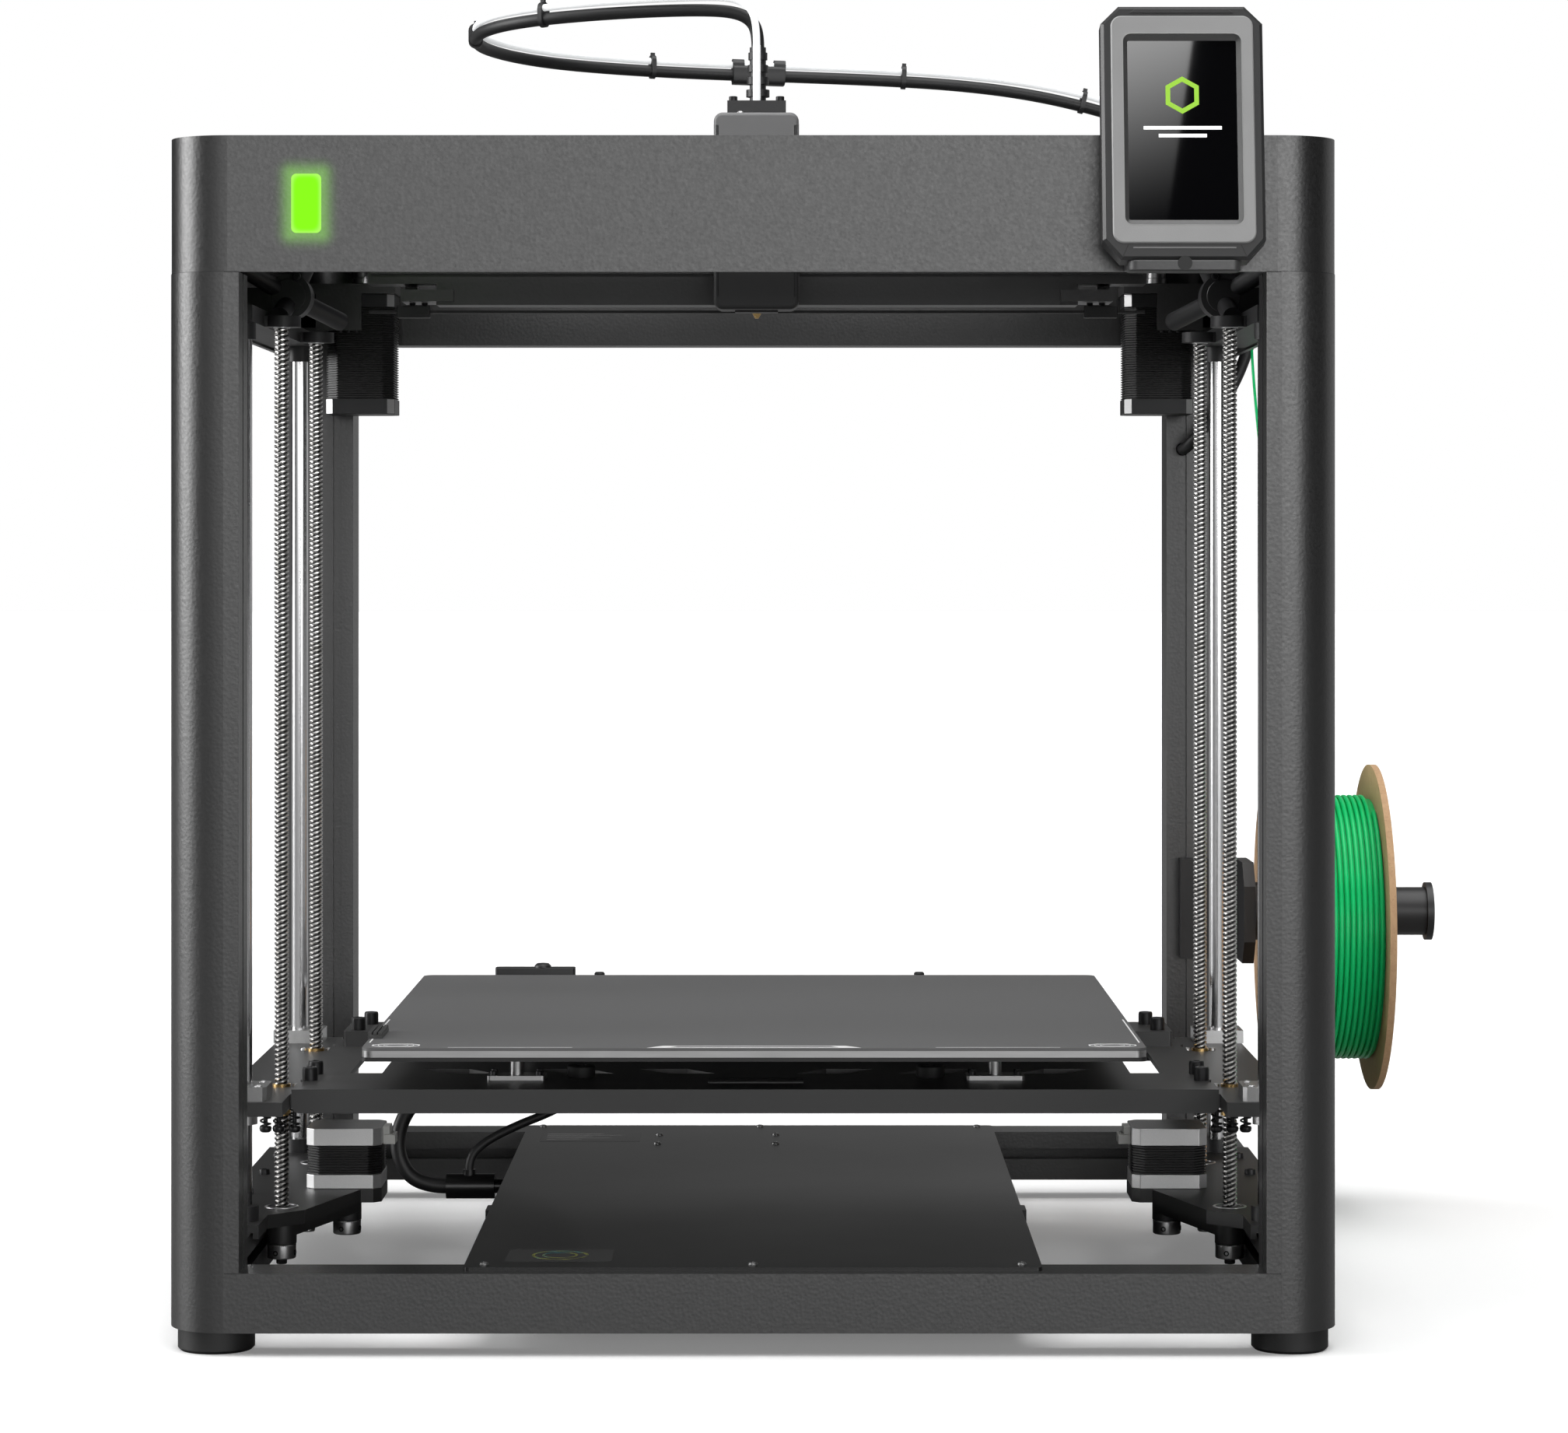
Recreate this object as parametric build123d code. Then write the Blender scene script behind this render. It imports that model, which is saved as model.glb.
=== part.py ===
from build123d import *
from math import pi, radians, tan
import os

# Desktop printer with a square gantry frame, a bed on four screws and a spool on its right side.
# Millimetres, +X right, +Y to the back, +Z up, floor at z 0. Everything is laid out about the
# middle of the frame and shifted on export, so that the whole object stands over the origin.

# Frame
FRAME_W, FRAME_D = 591.5, 586.0
HALF_W, HALF_D = FRAME_W / 2, FRAME_D / 2
FOOT_H, FOOT_R = 12.0, 19.5
FOOT_X, FOOT_Y = 272.5, 266.5
BASE_TOP = 42.0
RAIL_D, SIDE_RAIL_W = 30.0, 27.75
POST_D, FRONT_POST_W, REAR_POST_W = 36.0, 37.75, 41.75
CORNER_R = 30.0
WALL = 3.0
HOUSING_Z, TOP_Z = 545.0, 613.5
SIDE_Z, REAR_Z = 526.0, 534.0
TOP_OPEN_X, TOP_OPEN_FRONT = 228.0, -245.0
REAR_FACE = HALF_D - RAIL_D

# Z drive
SCREW_X, SCREW_Y, SCREW_R = 259.5, 89.0, 4.0
ROD_X, ROD_Y, ROD_R = 274.5, 140.0, 5.0
RUN, RUN_GAP = 0.06, 0.3
PLATE_TOP, PLATE_T, RING_Z0, RING_Z1 = 46.3, 7.4, 527.4, 533.4
MOTOR_W, Z_MOTOR_H, XY_MOTOR_H = 42.3, 33.8, 73.7
Z_MOTOR_X, Z_MOTOR_Y = 232.5, 0.0
HUB_R, HUB_Z0, HUB_Z1 = 7.9, 18.2, 26.1
SCREW_Z0 = 15.0
SKIRT_Z = 31.0

# Bed, drawn at its lowest position
BED_HALF = 205.0
SHEET_TOP, SHEET_T, HEATER_T = 145.6, 1.5, 5.4
SIDE_PLATE_TOP, SIDE_PLATE_T = 112.0, 7.6
CARRIER_TOP, CARRIER_X, CARRIER_Y = 114.8, 250.0, 127.0
FLANGE_Z, SHEET_METAL = 101.9, 2.8
SUPPORT_X, SUPPORT_Y = 131.5, 76.0

# Gantry and toolhead
XY_MOTOR_X, XY_MOTOR_Y, XY_MOTOR_Z = 245.5, 232.0, 489.6
MOUNT_T = 6.0
MOUNT_INNER_X = 223.5  # clear of the beam, which passes between the brackets
BEAM_X, BEAM_Y0, BEAM_Y1, BEAM_Z0, BEAM_Z1 = 222.0, 14.0, 40.0, 557.5, 580.0
STRIP_X, STRIP_Z = 183.0, 545.5
BLOCK_Y, BLOCK_Z0, BLOCK_Z1 = 50.0, 592.0, 602.0
RAIL_X0, RAIL_X1 = 262.0, 274.0
BELT_Z, BELT_W = 576.0, 6.0
HEAD_X, HEAD_FRONT, HEAD_SPLIT, HEAD_BACK = 23.75, -41.0, -16.0, 7.7
HEAD_Z0, HEAD_Z1 = 540.0, 650.0
NOZZLE_Y, NOZZLE_Z = -8.0, 536.5
FAN_Z, FAN_Y0, FAN_Y1 = 612.0, -35.0, -20.0
GLAND_X, GLAND_Y, GLAND_TOP = 0.6, -5.0, 690.0
TUBE_Y = -14.5

# Screen pod
POD_W, POD_H, POD_D, POD_TILT = 81.0, 130.0, 17.0, 9.5
POD_X, POD_FRONT, POD_Z = 214.5, -322.0, 549.2
POD_NOSE = 0.3  # how far behind POD_FRONT the tilt puts the foremost edge

# Electronics under the bed
CASE_X, CASE_Y, CASE_Z = 143.0, 262.0, 14.0
CASE_FLOOR = CASE_Z + 1.6
LID_X, LID_Y0, LID_Y1, LID_T = 146.0, -285.0, 280.0, 2.0
SLEEVE_Y, SLEEVE_Z = 55.0, 37.3
ROCKER_Y, ROCKER_Z, INLET_Y = -243.0, 28.0, -205.0

# Spool
HOLDER_Y, HOLDER_Z, HOLDER_R, HOLDER_END = 215.0, 184.0, 14.7, 413.0
SPOOL_R, SPOOL_BORE, SPOOL_CORE, WOUND_R = 99.5, 24.5, 40.0, 81.0
SPOOL_X0, SPOOL_X1, SPOOL_T = 318.0, 375.0, 4.0
SPOOL_Z = HOLDER_Z - (SPOOL_BORE - HOLDER_R) + RUN_GAP

# Cords
CABLE_D, TUBE_D, BED_CABLE_D, SENSOR_CABLE_D, FILAMENT_D = 7.3, 4.0, 8.7, 5.0, 1.75

SHIFT = Vector(-(HOLDER_END - HALF_W) / 2, -(POD_FRONT + POD_NOSE + HOLDER_Y + SPOOL_R) / 2, 0)


def save(name, *solids):
    shape = Compound([s for part in solids for s in part.solids()])
    export_step(shape.moved(Location(SHIFT)), f"parts/{name}.step")


def block(x0, x1, y0, y1, z0, z1):
    return Pos((x0 + x1) / 2, (y0 + y1) / 2, (z0 + z1) / 2) * Box(x1 - x0, y1 - y0, z1 - z0)


def post(x, y, z0, z1, r):
    return Pos(x, y, (z0 + z1) / 2) * Cylinder(r, z1 - z0)


def bar_x(y, z, x0, x1, r):
    return Pos((x0 + x1) / 2, y, z) * Rot(0, 90, 0) * Cylinder(r, x1 - x0)


def bar_y(x, z, y0, y1, r):
    return Pos(x, (y0 + y1) / 2, z) * Rot(90, 0, 0) * Cylinder(r, y1 - y0)


def rod(start, end, r):
    a, b = Vector(*start), Vector(*end)
    return extrude(Plane(origin=a, z_dir=b - a) * Circle(r), (b - a).length)


def slab(points, z0, z1):
    return Pos(0, 0, z0) * extrude(make_face(Polyline(*points, close=True)), z1 - z0)


def flip_x(part):
    return mirror(part, about=Plane.YZ)


def flip_y(part):
    return mirror(part, about=Plane.XZ)


def four(part):
    right = [part, flip_y(part)]
    return right + [flip_x(p) for p in right]


def vertical_edges(part):
    return part.edges().filter_by(Axis.Z)


def corner_edge(part, x, y):
    return vertical_edges(part).sort_by_distance(Vector(x, y, part.center().Z))[0]


def belt_hull(centres, r):
    return make_hull([(Pos(x, y) * Circle(r)).edge() for x, y in centres])


# Frame --------------------------------------------------------------------------------------


def foot():
    body = post(FOOT_X, -FOOT_Y, 0, FOOT_H, FOOT_R)
    return chamfer(body.faces().sort_by(Axis.Z)[0].edges(), 1.5)


def corner_block(width, z0, z1, hollow):
    body = block(HALF_W - width, HALF_W, -HALF_D, -HALF_D + POST_D, z0, z1)
    body = fillet(corner_edge(body, HALF_W, -HALF_D), CORNER_R)
    if hollow:
        core = block(HALF_W - width + WALL, HALF_W - WALL, WALL - HALF_D, POST_D - HALF_D - WALL, z0, z1)
        body -= fillet(corner_edge(core, HALF_W - WALL, WALL - HALF_D), CORNER_R - WALL)
    return body


def base_corner():
    width = FRONT_POST_W
    body = corner_block(width, FOOT_H, BASE_TOP, False)
    pocket = block(HALF_W - width + 5, HALF_W - 9, 9 - HALF_D, POST_D - HALF_D - 5, FOOT_H + 8, BASE_TOP)
    return body - pocket


def hollow_rail(x0, x1, y0, y1, along_x):
    body = block(x0, x1, y0, y1, FOOT_H, BASE_TOP)
    dx, dy = (0, WALL) if along_x else (WALL, 0)
    return body - block(x0 + dx, x1 - dx, y0 + dy, y1 - dy, FOOT_H + WALL, BASE_TOP - WALL)


def base_rails():
    reach_x, reach_y = HALF_W - FRONT_POST_W, HALF_D - POST_D
    front = hollow_rail(-reach_x, reach_x, -HALF_D, -HALF_D + RAIL_D, True)
    rear = hollow_rail(-reach_x, reach_x, REAR_FACE, HALF_D, True)
    slot_low, slot_high = 25.0, 31.6
    rear -= block(-reach_x, reach_x, REAR_FACE, REAR_FACE + WALL, slot_low, slot_high)
    side = hollow_rail(HALF_W - SIDE_RAIL_W, HALF_W, -reach_y, reach_y, False)
    side -= block(HALF_W - SIDE_RAIL_W, HALF_W - SIDE_RAIL_W + WALL, -reach_y, reach_y, slot_low, slot_high)
    return front, rear, side, flip_x(side)


def front_post():
    body = corner_block(FRONT_POST_W, BASE_TOP, HOUSING_Z, True)
    inner = HALF_W - FRONT_POST_W
    groove = block(inner, inner + 1.4, -HALF_D + 16, -HALF_D + 20, BASE_TOP, HOUSING_Z)
    return body - groove


def rear_post(with_cable_hole):
    body = flip_y(corner_block(REAR_POST_W, BASE_TOP, HOUSING_Z, True))
    face = HALF_D - POST_D
    body -= block(261.3, 266.5, face, face + 2.0, BASE_TOP, HOUSING_Z)
    if with_cable_hole:
        body -= bar_y(CABLE_HOLE[0], CABLE_HOLE[2], face - 1, face + WALL + 1, CABLE_D / 2 + 0.5)
    return body


def ring_wall(half_w, half_d, r, z0, z1):
    return Pos(0, 0, z0) * extrude(RectangleRounded(2 * half_w, 2 * half_d, r), z1 - z0)


def housing_front():
    outer = ring_wall(HALF_W, HALF_D, CORNER_R + 2, HOUSING_Z, TOP_Z)
    inner = ring_wall(HALF_W - WALL, HALF_D - WALL, CORNER_R - 1, HOUSING_Z, TOP_Z - WALL)
    reach = -HALF_D + POST_D
    body = (outer - inner) & block(-HALF_W, HALF_W, -HALF_D, reach, HOUSING_Z, TOP_Z)
    body += block(-TOP_OPEN_X, TOP_OPEN_X, reach, TOP_OPEN_FRONT, TOP_Z - WALL, TOP_Z)
    return body - light_slot(0)


def light_slot(grow):
    lens = Rectangle(15 + grow, 29.7 + grow)
    lens = fillet(lens.vertices(), 2.6)
    return Pos(-224.1, -HALF_D + WALL, 579.25) * Rot(90, 0, 0) * extrude(lens, WALL + 0.6)


def housing_side():
    y0, y1 = -HALF_D + POST_D, HALF_D - POST_D
    body = block(HALF_W - WALL, HALF_W, y0, y1, SIDE_Z, TOP_Z)
    body += block(TOP_OPEN_X, HALF_W - WALL, y0, y1, TOP_Z - WALL, TOP_Z)
    return body + block(TOP_OPEN_X, TOP_OPEN_X + 2, y0, y1, TOP_Z - 10.5, TOP_Z - WALL)


def housing_rear():
    reach = HALF_D - POST_D
    outer = ring_wall(HALF_W, HALF_D, CORNER_R + 2, HOUSING_Z, TOP_Z)
    inner = ring_wall(HALF_W - WALL, HALF_D - WALL, CORNER_R - 1, HOUSING_Z, TOP_Z - WALL)
    body = (outer - inner) & block(-HALF_W, HALF_W, reach, HALF_D, HOUSING_Z, TOP_Z)
    half = HALF_W - REAR_POST_W
    body += block(-half, half, REAR_FACE, REAR_FACE + WALL, REAR_Z, TOP_Z - WALL)
    body += block(-half, half, HALF_D - WALL, HALF_D, REAR_Z, HOUSING_Z)
    return body + block(-half, half, REAR_FACE + WALL, HALF_D - WALL, REAR_Z, REAR_Z + WALL)


# Screen pod ---------------------------------------------------------------------------------


def pod_place(part):
    return Pos(POD_X, POD_FRONT, POD_Z) * Rot(-POD_TILT, 0, 0) * part


def upright(face, y0, y1):
    return Pos(0, y1, 0) * Rot(90, 0, 0) * extrude(face, y1 - y0)


def pod_panel(width, height, middle, r, y0, y1):
    return upright(Pos(0, middle) * RectangleRounded(width, height, r), y0, y1)


BEZEL_MID = POD_H / 2 + 1.5


def screen_shell():
    w, h = POD_W / 2, POD_H
    side = [(-w + 9, 0), (w - 9, 0), (w, 10), (w, h - 9), (w - 9, h), (-w + 9, h), (-w, h - 9), (-w, 10)]
    body = upright(make_face(Polyline(*side, close=True)), 0, POD_D)
    body = chamfer(body.faces().sort_by(Axis.Y)[0].edges(), 1.6)
    body = chamfer(body.faces().sort_by(Axis.Y)[-1].edges(), 4.0)
    body -= pod_panel(71.2, 116.5, BEZEL_MID, 5.5, 0, 2)
    body -= pod_panel(61.0, 100.0, BEZEL_MID, 2, 2, 8)
    tongue = block(POD_X - 28, POD_X + 28, -HALF_D - 16, -HALF_D, HOUSING_Z, POD_Z + 6)
    rest = block(POD_X - 22, POD_X + 22, -HALF_D - 22, -HALF_D, POD_Z + 6, TOP_Z - 18)
    whole = pod_place(body)
    return whole + ((tongue + rest) - pod_place(block(-w, w, -40, POD_D, -20, POD_H)))


def screen_bezel():
    ring = pod_panel(71.2, 116.5, BEZEL_MID, 5.5, -1, 2)
    ring = chamfer(ring.faces().sort_by(Axis.Y)[0].edges(), 0.6)
    return pod_place(ring - pod_panel(58.9, 97.8, BEZEL_MID, 4, -1, 2))


def screen_glass():
    return pod_place(pod_panel(60.4, 99.4, BEZEL_MID, 1.5, 2, 4.5))


# Electronics --------------------------------------------------------------------------------


def electronics_case():
    body = block(-CASE_X, CASE_X, -CASE_Y, CASE_Y, CASE_Z, BASE_TOP)
    body -= block(-CASE_X + 1.6, CASE_X - 1.6, -CASE_Y + 1.6, CASE_Y - 1.6, CASE_FLOOR, BASE_TOP)
    for x in (-CASE_X - 6, CASE_X):
        body += block(x, x + 6, -74, -54, BASE_TOP - 8, BASE_TOP)
    body += bar_x(SLEEVE_Y, SLEEVE_Z, -152.3, -CASE_X, 4.2)
    body += bar_x(SLEEVE_Y, SLEEVE_Z, -180.3, -152.3, 7.2)
    body += post(-167, SLEEVE_Y, SLEEVE_Z, SLEEVE_Z + 9.7, 3.6)
    wall = -CASE_X - 1
    body -= block(wall, wall + 3, ROCKER_Y - 8.6, ROCKER_Y + 8.6, ROCKER_Z - 6, ROCKER_Z + 6)
    return body - block(wall, wall + 3, INLET_Y - 14, INLET_Y + 14, ROCKER_Z - 10, ROCKER_Z + 10)


def electronics_lid():
    lid = block(-LID_X, LID_X, LID_Y0, LID_Y1, BASE_TOP, BASE_TOP + LID_T)
    return fillet(vertical_edges(lid), 3)


def power_supply():
    body = block(20, 128, -60, 155, CASE_FLOOR, CASE_Z + 24)
    return fillet(vertical_edges(body), 1)


def mainboard():
    board = block(-126, -16, -40, 100, 22, 23.6)
    for x, y in ((-122, -36), (-20, -36), (-122, 76), (-20, 76)):
        board += post(x, y, CASE_FLOOR, 22, 3)
    for x in (-112, -88, -64, -40):
        board += block(x, x + 14, 20, 34, 23.6, 34)
    return board + block(-122, -20, 84, 98, 23.6, 33)


def mains_inlet():
    x = -CASE_X
    body = block(x - 3, x, INLET_Y - 17, INLET_Y + 17, ROCKER_Z - 12, ROCKER_Z + 12)
    body += block(x, x + 20, INLET_Y - 13.9, INLET_Y + 13.9, ROCKER_Z - 9.9, ROCKER_Z + 9.9)
    body -= block(x - 3, x + 16, INLET_Y - 12, INLET_Y + 12, ROCKER_Z - 8, ROCKER_Z + 8)
    for y, z in ((0, 3), (-7, -3), (7, -3)):
        body += block(x + 2, x + 16, INLET_Y + y - 1, INLET_Y + y + 1, ROCKER_Z + z - 2, ROCKER_Z + z + 2)
    return body


def power_rocker():
    x = -CASE_X
    outline = [(x + 5, -8.2), (x + 5, 8.2), (x - 3.4, 7.4), (x - 0.6, 0), (x - 1.0, -8.2)]
    return Pos(0, ROCKER_Y, 0) * slab(outline, ROCKER_Z - 5.6, ROCKER_Z + 5.6)


# Z drive ------------------------------------------------------------------------------------

BELT_POINTS = [(SCREW_X, -SCREW_Y), (Z_MOTOR_X, Z_MOTOR_Y), (SCREW_X, SCREW_Y)]


def plate_outline(edge):
    front = [(edge, -158), (264, -158), (263.5, -121.5), (245.5, -102), (222.5, -23), (215.5, -23), (211.2, -18.7)]
    return front + [(x, -y) for x, y in reversed(front)]


def z_base_plate():
    body = slab(plate_outline(HALF_W - 1), BASE_TOP, PLATE_TOP)
    body += slab(plate_outline(HALF_W - SIDE_RAIL_W - 1), PLATE_TOP - PLATE_T, BASE_TOP)
    body += Pos(0, 0, SKIRT_Z) * extrude(belt_hull(BELT_POINTS, 8.2), BASE_TOP - SKIRT_Z)
    for x, y in BELT_POINTS:
        body += post(x, y, HUB_Z1 + 0.4, SKIRT_Z, 8.2)
        body -= post(x, y, HUB_Z1, SKIRT_Z, 6.7)
    body -= Pos(0, 0, SKIRT_Z) * extrude(belt_hull(BELT_POINTS, 6.7), BASE_TOP - SKIRT_Z)
    for y in (-SCREW_Y, SCREW_Y):
        body -= post(SCREW_X, y, BASE_TOP, PLATE_TOP, SCREW_R + RUN)
    body -= post(Z_MOTOR_X, Z_MOTOR_Y, BASE_TOP, PLATE_TOP, 11.2)
    for y in (-ROD_Y, ROD_Y):
        body -= post(ROD_X, y, BASE_TOP, PLATE_TOP, ROD_R)
    return body


def z_belt():
    band = belt_hull(BELT_POINTS, 6.3) - belt_hull(BELT_POINTS, 5.2)
    return Pos(0, 0, SKIRT_Z + 2) * extrude(band, BELT_W)


def motor_body(x, y, z, height):
    body = block(x - MOTOR_W / 2, x + MOTOR_W / 2, y - MOTOR_W / 2, y + MOTOR_W / 2, z, z + height)
    return chamfer(vertical_edges(body), 4.2)


def z_motor():
    body = motor_body(Z_MOTOR_X, Z_MOTOR_Y, PLATE_TOP, Z_MOTOR_H)
    face = Z_MOTOR_X - MOTOR_W / 2
    body += block(face - 6.9, face, -8, 8, PLATE_TOP + 23.3, PLATE_TOP + 28.8)
    body += block(face - 3.9, face, -8, 8, PLATE_TOP + 28.8, PLATE_TOP + 33.4)
    body += post(Z_MOTOR_X, Z_MOTOR_Y, PLATE_TOP - 2, PLATE_TOP, 11)
    return body - post(Z_MOTOR_X, Z_MOTOR_Y, PLATE_TOP - 2, PLATE_TOP + 12, 2.5 + RUN)


def belt_pulley(x, y):
    body = post(x, y, HUB_Z0, HUB_Z1, HUB_R) + post(x, y, HUB_Z1, BASE_TOP - 1.2, 4.9)
    return chamfer(body.faces().sort_by(Axis.Z)[0].edges(), 0.6)


def z_motor_pulley():
    return belt_pulley(Z_MOTOR_X, Z_MOTOR_Y) + post(Z_MOTOR_X, Z_MOTOR_Y, HUB_Z0 - 0.5, PLATE_TOP + 11, 2.5)


def lead_screw(side, y):
    x = side * SCREW_X
    shaft = post(x, y, SCREW_Z0, RING_Z1 + 4, SCREW_R)
    shaft += post(x, y, RING_Z0 - 6, RING_Z0 - 0.5, 4.7)
    pulley = belt_pulley(x, y) - post(x, y, 10, 60, SCREW_R)
    return shaft, pulley


def guide_rod():
    return post(ROD_X, -ROD_Y, BASE_TOP, RING_Z0, ROD_R)


def rod_clamps():
    low = post(ROD_X, -ROD_Y, PLATE_TOP, PLATE_TOP + 8, 8.5)
    high = post(ROD_X, -ROD_Y, RING_Z0 - 9, RING_Z0, 7.0)
    core = post(ROD_X, -ROD_Y, BASE_TOP, RING_Z0, ROD_R)
    return low - core, high - core


def z_top_bracket():
    wall = HALF_W - WALL
    body = block(268, wall, -152, 152, RING_Z0, RING_Z1 + 3)
    for y in (-SCREW_Y, SCREW_Y):
        body += post(SCREW_X, y, RING_Z0, RING_Z1, 10.5)
        body += block(SCREW_X, 270, y - 8, y + 8, RING_Z0, RING_Z1)
    body += block(256, wall, -58, -44, RING_Z1, 551)
    hub = (258.9, -45.0, 546.3)
    body += bar_y(hub[0], hub[2], hub[1] - 16, hub[1] + 2, 12.5)
    for end in ((236, -2, 535), (284, -88, 562), (249, -44, 568), (262, -78, 534)):
        body += rod(hub, end, 5.2)
    for y in (-SCREW_Y, SCREW_Y):
        body -= post(SCREW_X, y, RING_Z0 - 1, RING_Z1 + 40, SCREW_R + RUN)
    return body


# Bed ----------------------------------------------------------------------------------------


def bed_side_plate():
    outline = [
        (288, -162), (251, -162), (251, -124), (232, -124),
        (232, 124), (251, 124), (251, 162), (288, 162),
    ]
    body = slab(outline, SIDE_PLATE_TOP - SIDE_PLATE_T, SIDE_PLATE_TOP)
    for y in (-SCREW_Y, SCREW_Y):
        body -= post(SCREW_X, y, 100, 120, 5.0)
    for y in (-ROD_Y, ROD_Y):
        body -= post(ROD_X, y, 100, 120, 8.0)
    return body


def slanted_slot(x, y, lean):
    w, h = 26.0, 22.0
    outline = [(x, y), (x + w, y), (x + w + lean, y + h), (x + lean, y + h)]
    return slab(outline, SIDE_PLATE_TOP - 20, CARRIER_TOP)


def bed_carrier():
    body = block(-CARRIER_X, CARRIER_X, -CARRIER_Y, CARRIER_Y, SIDE_PLATE_TOP, CARRIER_TOP)
    for y0 in (-CARRIER_Y, CARRIER_Y - 2.5):
        body += block(-CARRIER_X, CARRIER_X, y0, y0 + 2.5, FLANGE_Z, SIDE_PLATE_TOP)
    lower = body.edges().filter_by(Axis.Y).group_by(Axis.Z)[0]
    body = fillet(lower, 4.5)
    for side in (-1, 1):
        for x in (36, 92, 158):
            for y in (-52, 12):
                body -= slanted_slot(side * x - 13, y, side * 16)
        body -= block(min(side * 208, side * 226), max(side * 208, side * 226), -50, 52, 100, CARRIER_TOP)
    for y in (-96, -90, -84):
        body += bar_x(y, CARRIER_TOP, -26, 26, 1.4) & block(-30, 30, y - 3, y + 3, CARRIER_TOP, CARRIER_TOP + 3)
    body += block(-193, -177, 52, 66, FLANGE_Z + 4, SIDE_PLATE_TOP)
    body += block(-105, -91, 53, 67, FLANGE_Z + 4, SIDE_PLATE_TOP)
    for y in (-SCREW_Y, SCREW_Y):
        for x in (-SCREW_X, SCREW_X):
            body -= post(x, y, SIDE_PLATE_TOP - 2, CARRIER_TOP, 12)
    return body


def bed_cross_bar():
    bar = block(-243, 243, 85.5, 140, CARRIER_TOP, CARRIER_TOP + 8.8)
    return fillet(vertical_edges(bar), 2)


def bed_bearing():
    low = SIDE_PLATE_TOP
    body = block(260, 289, -158, -128, low, low + 7.6) + post(ROD_X, -ROD_Y, low - 14, low, 7.8)
    body = chamfer(vertical_edges(body).filter_by(lambda e: e.length > 7 and abs(e.center().X - 260) < 1), 2)
    return body - post(ROD_X, -ROD_Y, low - 20, low + 20, ROD_R + RUN)


def screw_nut():
    low = SIDE_PLATE_TOP - SIDE_PLATE_T
    body = post(SCREW_X, -SCREW_Y, low - 8, SIDE_PLATE_TOP + 1.6, 5.0)
    body += post(SCREW_X, -SCREW_Y, low - 3, low, 11.0)
    return body - post(SCREW_X, -SCREW_Y, 80, 130, SCREW_R + RUN)


def bed_support():
    x, y = SUPPORT_X, SUPPORT_Y
    base = block(x - 16, x + 16, y - 9, y + 9, CARRIER_TOP, CARRIER_TOP + 2.4)
    body = fillet(vertical_edges(base), 2) + post(x, y, CARRIER_TOP + 2.4, heater_bottom(), 3.65)
    return body


def bed_pad():
    return post(96.5, -68, CARRIER_TOP, CARRIER_TOP + 6, 5.2)


def heater_bottom():
    return SHEET_TOP - SHEET_T - HEATER_T


def heated_plate():
    z1 = SHEET_TOP - SHEET_T
    body = block(-BED_HALF, BED_HALF, -BED_HALF, BED_HALF, z1 - HEATER_T, z1)
    return chamfer(fillet(vertical_edges(body), 6).faces().sort_by(Axis.Z)[0].edges(), 0.8)


def build_sheet():
    body = block(-BED_HALF, BED_HALF, -BED_HALF, BED_HALF, SHEET_TOP - SHEET_T, SHEET_TOP)
    return fillet(vertical_edges(body), 6)


# Gantry -------------------------------------------------------------------------------------


def xy_motor():
    body = motor_body(XY_MOTOR_X, XY_MOTOR_Y, XY_MOTOR_Z, XY_MOTOR_H)
    top = XY_MOTOR_Z + XY_MOTOR_H
    body += post(XY_MOTOR_X, XY_MOTOR_Y, top, top + 2, 11)
    return body - post(XY_MOTOR_X, XY_MOTOR_Y, top - 12, top + 2, 2.5 + RUN)


def motor_bracket():
    z0 = XY_MOTOR_Z + XY_MOTOR_H
    edge = HALF_W - WALL
    body = block(MOUNT_INNER_X, edge, 206, HALF_D - POST_D, z0, z0 + MOUNT_T)
    body += block(244, 272, 206, 209, 540.7, z0)
    return body - post(XY_MOTOR_X, XY_MOTOR_Y, z0, z0 + MOUNT_T, 11.2)


def xy_pulley(side):
    x, z0 = side * XY_MOTOR_X, XY_MOTOR_Z + XY_MOTOR_H
    body = post(x, XY_MOTOR_Y, z0 - 11, BLOCK_Z0 - 1, 2.5)
    return body + post(x, XY_MOTOR_Y, z0 + MOUNT_T + 1.5, BELT_Z + 14.5, 6.3)


def side_belt(side, level):
    ends = [(side * XY_MOTOR_X, XY_MOTOR_Y), (side * XY_MOTOR_X, -236)]
    band = belt_hull(ends, 7.9) - belt_hull(ends, 6.7)
    return Pos(0, 0, BELT_Z + level * (BELT_W + 1)) * extrude(band, BELT_W)


def y_rail():
    return block(RAIL_X0, RAIL_X1, -230, HALF_D - POST_D, TOP_Z - WALL - 8, TOP_Z - WALL)


def x_beam():
    body = block(-BEAM_X, BEAM_X, BEAM_Y0, BEAM_Y1, BEAM_Z0, BEAM_Z1)
    body -= block(-BEAM_X, BEAM_X, BEAM_Y0 + 2.5, BEAM_Y1 - 2.5, BEAM_Z0 + 2.5, BEAM_Z1 - 2.5)
    body += block(-STRIP_X, STRIP_X, BEAM_Y0, BEAM_Y1, STRIP_Z, BEAM_Z0)
    body += block(-220, 220, BEAM_Y0 - 6, BEAM_Y0, 563, 572)
    return body


def gantry_block():
    body = block(165, 276, BEAM_Y0, BLOCK_Y, BLOCK_Z0, BLOCK_Z1)
    body += block(165, BEAM_X, BEAM_Y0, BEAM_Y1, BEAM_Z1, BLOCK_Z0)
    body += block(196, 203, BEAM_Y1, BLOCK_Y, 554, BLOCK_Z0)
    body += block(STRIP_X + 0.2, 203, BEAM_Y0, BLOCK_Y, 547.5, 554)
    body += block(173, 203, BEAM_Y0 - 4, BEAM_Y0, 547.5, 554)
    return body


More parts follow.
